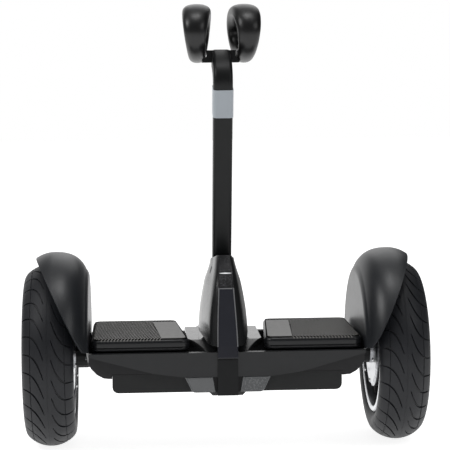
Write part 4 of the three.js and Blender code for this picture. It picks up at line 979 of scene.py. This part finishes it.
def mat_body(name):
    """A slab with a step round its side and a well rounded top edge."""
    top = MAT_TOP - RIB_HEIGHT
    groove = (MAT_BOTTOM + top - MAT_EDGE) / 2
    levels = [
        (MAT_BOTTOM, MAT_STEP * 3), (MAT_BOTTOM + MAT_STEP, MAT_STEP * 2),
        (MAT_BOTTOM + MAT_STEP * 2, MAT_STEP), (groove - MAT_STEP, MAT_STEP),
        (groove, MAT_STEP * 2), (groove + MAT_STEP, 0.0), (top - MAT_EDGE, 0.0),
    ]
    levels += [(top - MAT_EDGE + MAT_EDGE * rise, MAT_EDGE * tuck) for rise, tuck in edge_round(8)]
    rows = [[(x, y, z) for x, y in mat_outline(inset)] for z, inset in levels]
    return lofted(name, rows, smooth_angle=50)


def mat_inner_x(y):
    share = (y - MAT_FRONT) / (MAT_REAR - MAT_FRONT)
    return MAT_INNER_FRONT + (MAT_INNER_REAR - MAT_INNER_FRONT) * share


def in_field(x, y):
    """True where the mat's top is ribbed: all but the smooth patch and the rim."""
    corner = max(0.0, MAT_CORNER - (y - MAT_FRONT), MAT_CORNER - (MAT_REAR - y))
    margin = RIB_MARGIN + corner ** 2 / MAT_CORNER
    if not mat_inner_x(y) + margin < x < MAT_OUTER - margin:
        return False
    return x > mat_inner_x(y) + PATCH_WIDTH or y > PATCH_REAR + RIB_WIDTH


def rib_lines():
    """The ribs' middle lines. They slant inwards to the rear, and break off at the smooth patch."""
    lines = []
    reach = RIB_SLANT * (MAT_REAR - MAT_FRONT)
    for n in range(int((MAT_OUTER - MAT_INNER_FRONT + reach) / RIB_PITCH)):
        start_x = MAT_OUTER + reach - RIB_MARGIN - n * RIB_PITCH
        line = []
        y = MAT_FRONT + MAT_EDGE * RIB_START_SHARE
        while y <= MAT_REAR - MAT_EDGE * RIB_END_SHARE:
            x = start_x - RIB_SLANT * (y - MAT_FRONT)
            if in_field(x, y):
                line.append((x, y))
            elif line:
                lines.append(line)
                line = []
            y += RIB_STEP
        lines.append(line)
    return [line for line in lines if len(line) > 1]


def rib_top(y):
    """Height of a rib's top, which follows the mat's round front edge."""
    short = max(MAT_EDGE - (y - MAT_FRONT), 0.0)
    return MAT_TOP - MAT_EDGE + math.sqrt(MAT_EDGE ** 2 - short ** 2)


def mat_ribs(name):
    """Long low ribs with sloping sides."""
    ribs = []
    for line in rib_lines():
        rows = []
        for x, y in line:
            top = rib_top(y)
            foot = min(MAT_TOP - RIB_HEIGHT * 2, top - RIB_HEIGHT)
            section = ((-1, foot), (-RIB_TOP_SHARE, top), (RIB_TOP_SHARE, top), (1, foot))
            rows.append([(x + shift * RIB_WIDTH / 2, y, z) for shift, z in section])
        ribs.append(rows)
    return lofts(name, ribs, smooth_angle=20)


def mat_field(name):
    """Thin ground between the ribs, darker than their tops as painted shade."""
    top = MAT_TOP - RIB_HEIGHT
    outline = mat_outline(RIB_MARGIN - RIB_WIDTH / 2)
    return slab_object(name, outline, top - MAT_EDGE / 4, top + FIELD_RISE, "z")


def mat_patch(name):
    """Smooth inner part of the mat's top, flush with the ribs."""
    front = MAT_FRONT + MAT_EDGE
    radius = MAT_CORNER - PATCH_MARGIN
    rear_x = mat_inner_x(PATCH_REAR)
    outline = [(mat_inner_x(front) + PATCH_WIDTH, front), (rear_x + PATCH_WIDTH, PATCH_REAR)]
    outline.append((rear_x + PATCH_MARGIN, PATCH_REAR))
    outline += corner_arc(mat_inner_x(front) + PATCH_MARGIN + radius, front + radius, radius, 180, 270, 6)
    return slab_object(name, outline, MAT_TOP - RIB_HEIGHT * 2, MAT_TOP, "z")


def add_mats():
    for side, sign in SIDES:
        slab = mat_body(f"{side}_mat_slab")
        ribs = mat_ribs(f"{side}_mat_ribs")
        field = rounded(mat_field(f"{side}_mat_field"), FIELD_RISE, 2, 40)
        patch = rounded(mat_patch(f"{side}_mat_patch"), RIB_HEIGHT / 2, 2, 40)
        for piece in (slab, ribs, field, patch):
            on_side(piece, sign)
        finished(field, f"{side}_mat", "mat_ground_painted_shade")
        # The patch and the rib tops are painted paler than the rim, as painted sheen.
        finished(patch, f"{side}_mat", "mat_patch")
        finished(slab, f"{side}_mat", "mat_edge", [f"{side}_foot_mat"])
        finished(ribs, f"{side}_mat", "mat_top_painted_sheen")
        ribs.data.materials.append(looks["mat_ground_painted_shade"])
        # Rib sides take the dark ground look, painted shade; their tops keep the pale one.
        for face in ribs.data.polygons:
            face.material_index = 1 if abs(face.normal.x) > 0.5 else 0


# Column

STRIP_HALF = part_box("column_front_strip")[1].x
REAR_STRIP_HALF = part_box("column_rear_strip")[1].x
COLUMN_FOOT = 0.150
COLUMN_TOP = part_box("column_grip_panel")[1].z
COLUMN_HEIGHT = COLUMN_TOP - COLUMN_FOOT
COLUMN_HALF = 0.0334
COLUMN_FRONT = 0.114
COLUMN_REAR = 0.070
COLUMN_WALL = 0.0018
COLUMN_DROP = 0.014
SKIRT_RADIUS = 0.0566
SKIRT_DROP_START = -0.068
LEAN_LIMIT = math.radians(10)
COVER_FOOT = 0.1525
COVER_ROLL = 0.0015
COVER_LEVELS = 44
COVER_ROUNDING = 0.0006
CHEEK_DEPTH = 0.026
# At each share of the column's height: its half width, front, rear and strip, as shares of the full sizes
COLUMN_SHARES = (
    (0.00, 1.00, 1.00, 1.00, 1.00), (0.11, 0.99, 0.96, 0.965, 0.985), (0.35, 0.916, 0.868, 0.87, 0.90),
    (0.65, 0.734, 0.754, 0.74, 0.755), (0.83, 0.581, 0.632, 0.64, 0.685), (0.94, 0.50, 0.48, 0.57, 0.62),
    (1.00, 0.475, 0.37, 0.54, 0.53),
)
CHEEK_SHARE = 0.55
CHEEK_ROUNDING_SHARES = ((0.6, 0.12), (1.0, 0.42), (0.35, 1.15))
SWELL_SHARE = 1.02
SIDE_SHARE = 0.95
REAR_CORNER_SHARE = 0.95
ROUND_SHARE = 0.25
TIP_SHARE = 0.65


def column_at(height):
    """Half width, front, rear and strip half width at a height, smoothly through the share table."""
    share = (height - COLUMN_FOOT) / COLUMN_HEIGHT
    rows = COLUMN_SHARES
    k = max(1, next((i for i, r in enumerate(rows) if r[0] >= share - 1e-9), len(rows) - 1))
    low, high = rows[k - 1], rows[k]
    before, after = rows[max(k - 2, 0)], rows[min(k + 1, len(rows) - 1)]
    run = high[0] - low[0]
    t = (share - low[0]) / run
    values = []
    for i in (1, 2, 3, 4):
        slope_low = (high[i] - before[i]) / (high[0] - before[0]) * run
        slope_high = (after[i] - low[i]) / (after[0] - low[0]) * run
        values.append((2 * t ** 3 - 3 * t ** 2 + 1) * low[i] + (t ** 3 - 2 * t ** 2 + t) * slope_low
                      + (-2 * t ** 3 + 3 * t ** 2) * high[i] + (t ** 3 - t ** 2) * slope_high)
    half, front, rear, strip = values
    return half * COLUMN_HALF, -front * COLUMN_FRONT, rear * COLUMN_REAR, strip * STRIP_HALF


def tipped(height, y):
    """The column's upper rows tip back, so its top falls from the front strip to the rear one."""
    _, front, rear, _ = column_at(height)
    up = (height - COLUMN_FOOT) / COLUMN_HEIGHT
    return height - COLUMN_DROP * ramp(up, TIP_SHARE, 1.0) * (y - front) / (rear - front)


def cover_section(height, inset):
    """Half outline of the covers, from the edge of the front strip to the edge of the rear one."""
    half, front, rear, strip = column_at(height)
    middle = (front + rear) / 2
    edge = strip + SEAT_GAP
    cheek = strip + (half - strip) * CHEEK_SHARE
    turn = half * ROUND_SHARE
    wide = half * SWELL_SHARE
    (out_a, back_a), (out_b, back_b), (out_c, back_c) = CHEEK_ROUNDING_SHARES
    line = softened([Vector(p) for p in (
        (edge, front + inset),
        (edge + (cheek - edge) * out_a, front + CHEEK_DEPTH * back_a + inset),
        (edge + (cheek - edge) * out_b - inset, front + CHEEK_DEPTH * back_b + inset / 2),
        (cheek + (half - cheek) * out_c - inset, front + CHEEK_DEPTH * back_c),
        (wide * SIDE_SHARE - inset, middle - turn),
        (wide - inset, middle + turn * 2),
        (wide * REAR_CORNER_SHARE - inset, rear - turn * 2),
        (REAR_STRIP_HALF + SEAT_GAP, rear - inset),
    )], 3)
    return [(p.x, p.y) for p in line]


def skirt_height(x, y):
    """Foot of the covers: clear of the ridge and the wings at full lean, and lower in front."""
    over_ridge = math.sqrt(SKIRT_RADIUS ** 2 - x ** 2)
    rise = WING_TOP + RUNNING_GAP - PIVOT_HEIGHT
    over_wing = (rise + x * math.sin(LEAN_LIMIT)) / math.cos(LEAN_LIMIT)
    skirt = PIVOT_HEIGHT + max(over_ridge, over_wing)
    front = column_at(COVER_FOOT)[1]
    share = ramp(-y, -SKIRT_DROP_START, -front)
    return skirt + (COLUMN_FOOT + SEAT_GAP - skirt) * share


def cover_grid(inset):
    foot = cover_section(COVER_FOOT, inset)
    rows = [[(x, y, skirt_height(x, y)) for x, y in foot]]
    start = COLUMN_FOOT + COLUMN_SHARES[1][0] * COLUMN_HEIGHT
    end = COLUMN_TOP - COVER_ROLL
    levels = [(z, inset) for z in spaced(start, end, COVER_LEVELS)]
    levels += [(end + COVER_ROLL * rise, max(inset, COVER_ROLL * tuck)) for rise, tuck in edge_round(5)]
    for z, depth in levels:
        rows.append([(x, y, tipped(z, y)) for x, y in cover_section(z, depth)])
    return rows


def column_cover(name):
    return sheet_object(name, cover_grid(0.0), cover_grid(COLUMN_WALL), smooth_angle=24)


STRIP_WALL = 0.0025
STRIP_CROWN = 0.0003
STRIP_COLUMNS = 8
STRIP_LEVELS = 36
STRIP_FOOT_DEPTH = 0.0036
STRIP_BEND = 0.145
STRIP_SETBACK = 0.0013
STRIP_ROUNDING = 0.0007


def strip_row(half, y, z):
    """One row across a strip, a little proud in its middle."""
    return [(half * across, y + STRIP_CROWN * across ** 2, z) for across in spaced(-1, 1, STRIP_COLUMNS)]


def front_rows(low, high, inset):
    """Rows down the column's front between two heights."""
    rows = []
    for z in spaced(high, low, STRIP_LEVELS):
        _, front, _, strip = column_at(z)
        rows.append(strip_row(strip, front + inset, z))
    return rows


def front_gloss(name):
    """The front strip, with a foot that hangs down in front of the deck."""
    low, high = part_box("column_front_strip")
    back = low.y + STRIP_FOOT_DEPTH
    outer = front_rows(COLUMN_FOOT, high.z, 0.0)
    outer += [strip_row(STRIP_HALF, low.y + STRIP_SETBACK, STRIP_BEND), strip_row(STRIP_HALF, low.y, low.z)]
    inner = front_rows(COLUMN_FOOT, high.z, STRIP_WALL)
    inner += [strip_row(STRIP_HALF, back, STRIP_BEND), strip_row(STRIP_HALF, back, low.z)]
    return sheet_object(name, outer, inner, smooth_angle=30)


TRIM_HALF = 0.0009
TRIM_PROUD = 0.0005
TRIM_SIDES = 8
TRIM_STEPS = 40
TRIM_TOP_STEPS = 12


def trim_tube(name, line, closed=False):
    """A fine raised bead along a line of points."""
    rows = []
    last = len(line) - 1
    for i, point in enumerate(line):
        if closed:
            ahead = line[(i + 1) % len(line)] - line[i - 1]
        else:
            ahead = line[min(i + 1, last)] - line[max(i - 1, 0)]
        ahead.normalize()
        across = ahead.cross(Vector((0, 1, 0))).normalized()
        out = across.cross(ahead)
        rows.append([point + across * TRIM_HALF * math.cos(a) + out * TRIM_PROUD * 2 * math.sin(a)
                     for a in around(TRIM_SIDES)])
    return lofted(name, rows, closed_rows=closed, smooth_angle=60)


def strip_trims():
    """Light beads down both edges of the front strip, and one across its top: painted highlights of its
    bevels.
    """
    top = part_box("column_front_strip")[1].z
    pieces = []
    for side, sign in SIDES:
        line = []
        for z in spaced(top, COLUMN_FOOT, TRIM_STEPS):
            _, front, _, strip = column_at(z)
            line.append(Vector((sign * (strip - TRIM_HALF / 2), front, z)))
        pieces.append(trim_tube(f"{side}_strip_bead", line))
    _, front, _, strip = column_at(top)
    reach = strip - TRIM_HALF * 2
    cross = [Vector((x, front, top - TRIM_HALF)) for x in spaced(-reach, reach, TRIM_TOP_STEPS)]
    pieces.append(trim_tube("strip_top_bead", cross))
    return pieces


SLIT_TALL = 0.0017
SLIT_SINK = 0.0006
SLIT_DEPTH = 0.0016
SLIT_END_SHARE = 0.3
SLIT_STEPS = 24
BUTTON_REACH = 0.006


def headlight(name):
    """A slit of light that gets thinner towards both ends."""
    low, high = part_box("headlight_lens")
    middle = (low.z + high.z) / 2
    half = (high.x - low.x) / 2
    rise = SLIT_TALL / 2
    face = column_at(middle)[1] + SLIT_SINK
    back = face + SLIT_DEPTH
    rows = []
    for x in spaced(-half, half, SLIT_STEPS):
        taper = rise * (SLIT_END_SHARE + (1 - SLIT_END_SHARE) * (1 - abs(x) / half))
        rows.append([(x, face, middle - taper), (x, face, middle + taper),
                     (x, back, middle + taper), (x, back, middle - taper)])
    return lofted(name, rows)


def release_rod(name, clearance):
    """A round rod through the button's place, to cut its hole or its face from the cover."""
    low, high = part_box("release_button")
    middle = (low + high) / 2
    radius = (high.z - low.z) / 2 + clearance
    outline = corner_arc(middle.y, middle.z, radius, 0, 352.5, 47)
    return slab_object(name, outline, middle.x - BUTTON_REACH, middle.x + BUTTON_REACH)


def release_face(name):
    """A button whose face is flush with the slope of the cover."""
    return combined(mirrored(column_cover(name)), "INTERSECT", release_rod("rod", 0.0))


def grip_panel(name):
    """Upper part of the column's front, cut for the headlight."""
    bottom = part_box("column_grip_panel")[0].z
    grip = sheet_object(name, front_rows(bottom, COLUMN_TOP, 0.0),
                        front_rows(bottom, COLUMN_TOP, STRIP_WALL), smooth_angle=30)
    low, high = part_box("headlight_lens")
    middle = (low.z + high.z) / 2
    rise = SLIT_TALL / 2 + SEAT_GAP
    slit = box_object("slit", (low.x - SEAT_GAP, low.y - OVERRUN, middle - rise),
                      (high.x + SEAT_GAP, high.y + OVERRUN, middle + rise))
    return combined(grip, "DIFFERENCE", slit)


def add_column():
    left = mirrored(column_cover("column_left_shell"))
    combined(left, "DIFFERENCE", release_rod("hole", RUNNING_GAP))
    finished(release_face("release_flush_face"), "release_button", "matt",
             ["release_button"])
    right = column_cover("column_right_shell")
    covers = ((left, "column_left_cover", "cover"), (right, "column_right_cover", "shaded"))
    for piece, name, look in covers:
        rounded(piece, COVER_ROUNDING, 2, 60)
        finished(piece, "column", look, [name])
    strip = rounded(front_gloss("column_front_gloss"), STRIP_ROUNDING, 3, 50)
    finished(strip, "column", "gloss", ["column_front_strip"])
    # Painted highlights along the strip's edges.
    for bead in strip_trims():
        finished(bead, "column", "highlight_trim")
    finished(grip_panel("column_grip"), "column", "grip", ["column_grip_panel"])
    finished(headlight("headlight_bar"), "column", "light_guide", ["headlight_lens"])


# Thin light rims round the lamp windows: painted highlights along the windows' edges

LAMP_INNER_TOP = 0.020
LAMP_INNER_BOTTOM = 0.0165
LAMP_OUTER_BOTTOM = 0.049
LAMP_CORNER = 0.006
BEZEL_INSET = 0.0009
BEZEL_STEP = 0.0015


def lamp_bezel(name):
    low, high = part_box("right_lamp_lens")
    bottom, top, outer = low.z + BEZEL_INSET, high.z - BEZEL_INSET, high.x - BEZEL_INSET * 2
    corner = corner_arc(LAMP_OUTER_BOTTOM - LAMP_CORNER, bottom + LAMP_CORNER, LAMP_CORNER, -90, -15, 6)
    outline = [(LAMP_INNER_BOTTOM + BEZEL_INSET, bottom)] + corner
    outline += [(outer, top), (LAMP_INNER_TOP + BEZEL_INSET, top)]
    face = low.y + TRIM_PROUD
    line = [Vector((x, face, z)) for x, z in outline]
    return trim_tube(name, evenly(line + line[:1], BEZEL_STEP)[:-1], closed=True)


def add_bezels():
    for side, sign in SIDES:
        highlight_bezel = on_side(lamp_bezel(f"{side}_lamp_bezel"), sign)
        finished(highlight_bezel, "chassis", "highlight_bezel")


# Steering bar

STEM_HALF_WIDTH = 0.013
STEM_HALF_DEPTH = 0.014
STEM_CORNER = 0.005
STEM_LEAN = math.radians(16.1)
STEM_ENTRY_Y = 0.0144
STEM_BOTTOM = 0.182
STEM_BEND = 0.493
STEM_TOP = 0.529
STEM_TOP_Y = -0.012
STEM_BEND_SHARE = 0.62
STEM_STRAIGHT_STEPS = 12
STEM_BEND_STEPS = 20
HEAD_ROUNDING = 0.003
BAND_HALF = 0.0185
BAND_GAP = 0.0002
BAND_PROUD = 0.0008


def stem_y(height):
    return STEM_ENTRY_Y - (height - COLUMN_TOP) * math.tan(STEM_LEAN)


def bar_ring(y, z, lean, grow, corner):
    ring = []
    half_x = STEM_HALF_WIDTH + grow
    half_y = STEM_HALF_DEPTH + grow
    for sx, sy, start in ((1, -1, -90), (1, 1, 0), (-1, 1, 90), (-1, -1, 180)):
        for across, deep in corner_arc(sx * (half_x - corner), sy * (half_y - corner), corner,
                                       start, start + 90, 8):
            ring.append((across, y + deep * math.cos(lean), z + deep * math.sin(lean)))
    return ring


def stem_stations():
    """Places of the bar's rings as (y, z, lean): a straight run, then the bend."""
    start = Vector((stem_y(STEM_BEND), STEM_BEND))
    along = Vector((-math.sin(STEM_LEAN), math.cos(STEM_LEAN)))
    corner = start + along * (STEM_TOP - STEM_BEND) * STEM_BEND_SHARE
    end = Vector((STEM_TOP_Y, STEM_TOP))
    heights = spaced(STEM_BOTTOM, STEM_BEND, STEM_STRAIGHT_STEPS)[:-1]
    stations = [(stem_y(z), z, STEM_LEAN) for z in heights]
    for t in spaced(0, 1, STEM_BEND_STEPS):
        point = start * (1 - t) ** 2 + corner * 2 * t * (1 - t) + end * t ** 2
        tangent = (corner - start) * (1 - t) + (end - corner) * t
        stations.append((point.x, point.y, math.atan2(-tangent.x, tangent.y)))
    return stations


def stem(name):
    return lofted(name, [bar_ring(y, z, lean, 0.0, STEM_CORNER) for y, z, lean in stem_stations()])


def label(name):
    """A plain band round the bar."""
    low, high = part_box("label_band")
    centre = (low.z + high.z) / 2
    heights = (centre - BAND_HALF, centre, centre + BAND_HALF)
    outer = [bar_ring(stem_y(z), z, STEM_LEAN, BAND_PROUD, STEM_CORNER + SEAT_GAP) for z in heights]
    inner = [bar_ring(stem_y(z), z, STEM_LEAN, BAND_GAP, STEM_CORNER) for z in heights[::-1]]
    return lofted(name, outer + inner, closed_rows=True, smooth_angle=50)


# Knee pads: soft loops of foam rubber

PAD_CENTRE = 0.5645
PAD_HALF_HEIGHT = 0.0295
PAD_HALF_DEPTH = 0.046
PAD_THICKNESS = 0.0105
PAD_HALF_TOP = 0.0192
PAD_HALF_BOTTOM = 0.0115
PAD_SQUARENESS = 0.85
PAD_FRONT_X = 0.036
PAD_REAR_X = 0.028
PAD_STEPS = 96
PAD_SIDES = 36


def squared(value):
    """Makes a round section a little squarer."""
    return math.copysign(abs(value) ** PAD_SQUARENESS, value)


def knee_pad(name):
    rows = []
    for turn in around(PAD_STEPS):
        deep, up = math.cos(turn), math.sin(turn)
        full = (up + 1) / 2
        half = PAD_HALF_BOTTOM + (PAD_HALF_TOP - PAD_HALF_BOTTOM) * full
        centre = (PAD_FRONT_X + PAD_REAR_X) / 2 - (PAD_FRONT_X - PAD_REAR_X) / 2 * deep
        ring = []
        for angle in around(PAD_SIDES):
            out = PAD_THICKNESS * squared(math.cos(angle))
            ring.append((centre + half * squared(math.sin(angle)), (PAD_HALF_DEPTH + out) * deep,
                         PAD_CENTRE + (PAD_HALF_HEIGHT + out) * up))
        rows.append(ring)
    return lofted(name, rows, closed_rows=True, smooth_angle=80)


def add_steering_bar():
    finished(stem("stem_bar"), "steering_bar", "stem", ["stem_tube"])
    finished(label("plain_band"), "steering_bar", "label", ["label_band"])
    head = nodes["stem_head"]
    head.data.materials.clear()
    head.data.materials.append(looks["stem"])
    rounded(head, HEAD_ROUNDING, 4, 30)
    for side, sign in SIDES:
        pad = on_side(knee_pad(f"{side}_pad_skin"), sign)
        finished(pad, "steering_bar", "pad", [f"{side}_knee_pad"])


# Floor, light and camera

WORLD_LEVEL = 0.55
ROOM_FADES = (("Y", 0.25, 0.95, 0.16, 1.0), ("X", 0.12, 0.34, 1.0, 0.12), ("Z", 0.25, 0.65, 1.0, 0.35))
CEILING_FADE = ("Z", 0.72, 0.94, 0.0, 0.5)
FLOOR_GLOW = 0.85
FLOOR_COLOR = (0.60, 0.60, 0.60)
FLOOR_HALF = 12.0
FLOOR_DEPTH = 0.02
LAMP_GOAL = (0, 0, 0.25)
LAMPS = (
    ("key", (-1.6, -0.7, 2.1), 1.0, 18),
    ("top", (0.1, -0.15, 2.6), 0.7, 8),
    ("fill", (1.7, -1.6, 1.9), 1.2, 9),
    ("back", (0.4, 2.4, 2.2), 1.8, 9),
)
CAMERA_PLACE = (-0.1237, -2.2079, 0.4957)
CAMERA_YAW = 0.05785
CAMERA_PITCH = -0.08759
CAMERA_ROLL = -0.00893
FOCAL_PIXELS = 1606.5
IMAGE_PIXELS = 450
SENSOR_MILLIMETRES = 36.0
CLIP_NEAR = 0.05
CLIP_FAR = 50.0


def reckoned(tree, operation, a, b):
    """One step of arithmetic between two values of a shader."""
    return wired(tree, "ShaderNodeMath", {0: a, 1: b}, "Value", operation=operation)


def stage_material(name, color, glow):
    """A floor that keeps the object's shadow and reads white to the camera."""
    look = bpy.data.materials.new(name)
    look.use_nodes = True
    tree = look.node_tree
    shader = tree.nodes["Principled BSDF"]
    shader.inputs["Base Color"].default_value = (*color, 1)
    shader.inputs["Roughness"].default_value = 1.0
    shader.inputs["Specular IOR Level"].default_value = 0.0
    shader.inputs["Emission Color"].default_value = (1, 1, 1, 1)
    path = wired(tree, "ShaderNodeLightPath", {})
    seen = 0.0
    for ray in ("Is Camera Ray", "Is Glossy Ray", "Is Transmission Ray"):
        seen = reckoned(tree, "ADD", seen, path.outputs[ray])
    tree.links.new(reckoned(tree, "MULTIPLY", seen, glow), shader.inputs["Emission Strength"])
    return look


def set_world():
    """White backdrop. Reflections see a dimmer room on the front side, as in a studio."""
    world = bpy.data.worlds.new("studio")
    bpy.context.scene.world = world
    world.use_nodes = True
    tree = world.node_tree
    background = tree.nodes["Background"]
    background.inputs["Color"].default_value = (1, 1, 1, 1)
    path = wired(tree, "ShaderNodeLightPath", {})
    place = wired(tree, "ShaderNodeTexCoord", {}, "Generated")
    split = wired(tree, "ShaderNodeSeparateXYZ", {"Vector": place})

    def fade(axis, start, end, low, high):
        return mapped(tree, split.outputs[axis], start, end, low, high, smooth=True)

    bright = 1.0
    for room_fade in ROOM_FADES:
        bright = reckoned(tree, "MULTIPLY", bright, fade(*room_fade))
    bright = reckoned(tree, "MAXIMUM", bright, fade(*CEILING_FADE))
    strength = WORLD_LEVEL
    for ray, level in (("Is Glossy Ray", bright), ("Is Transmission Ray", 1.0), ("Is Camera Ray", 1.0)):
        inputs = {"Factor": path.outputs[ray], "A": strength, "B": level}
        strength = wired(tree, "ShaderNodeMix", inputs, "Result", data_type="FLOAT")
    tree.links.new(strength, background.inputs["Strength"])


def area_lamp(name, place, size, power):
    data = bpy.data.lights.new(name, "AREA")
    data.shape = "SQUARE"
    data.size = size
    data.energy = power
    lamp = bpy.data.objects.new(name, data)
    bpy.context.scene.collection.objects.link(lamp)
    lamp.location = place
    lamp.rotation_mode = "QUATERNION"
    lamp.rotation_quaternion = (Vector(LAMP_GOAL) - Vector(place)).to_track_quat("-Z", "Y")


def add_stage():
    floor = box_object("floor", (-FLOOR_HALF, -FLOOR_HALF, -FLOOR_DEPTH), (FLOOR_HALF, FLOOR_HALF, 0.0))
    floor.data.materials.append(stage_material("floor_white", FLOOR_COLOR, FLOOR_GLOW))
    set_world()
    for lamp in LAMPS:
        area_lamp(*lamp)
    bpy.context.scene.view_settings.view_transform = "Standard"


def add_camera():
    data = bpy.data.cameras.new("camera")
    data.sensor_width = SENSOR_MILLIMETRES
    data.lens = FOCAL_PIXELS / IMAGE_PIXELS * SENSOR_MILLIMETRES
    data.clip_start = CLIP_NEAR
    data.clip_end = CLIP_FAR
    camera = bpy.data.objects.new("camera", data)
    bpy.context.scene.collection.objects.link(camera)
    yaw, pitch, roll = CAMERA_YAW, CAMERA_PITCH, CAMERA_ROLL
    forward = Vector((math.sin(yaw) * math.cos(pitch), math.cos(yaw) * math.cos(pitch), math.sin(pitch)))
    right = Vector((math.cos(yaw), -math.sin(yaw), 0.0))
    up = right.cross(forward)
    level_right = right * math.cos(roll) + up * math.sin(roll)
    level_up = up * math.cos(roll) - right * math.sin(roll)
    turn = Matrix((level_right, level_up, -forward)).transposed()
    camera.matrix_world = Matrix.Translation(CAMERA_PLACE) @ turn.to_4x4()
    bpy.context.scene.camera = camera


add_stage()
add_camera()
add_wheels()
dress_kept_nodes()
add_deck()
add_fenders()
add_mats()
add_column()
add_bezels()
add_steering_bar()
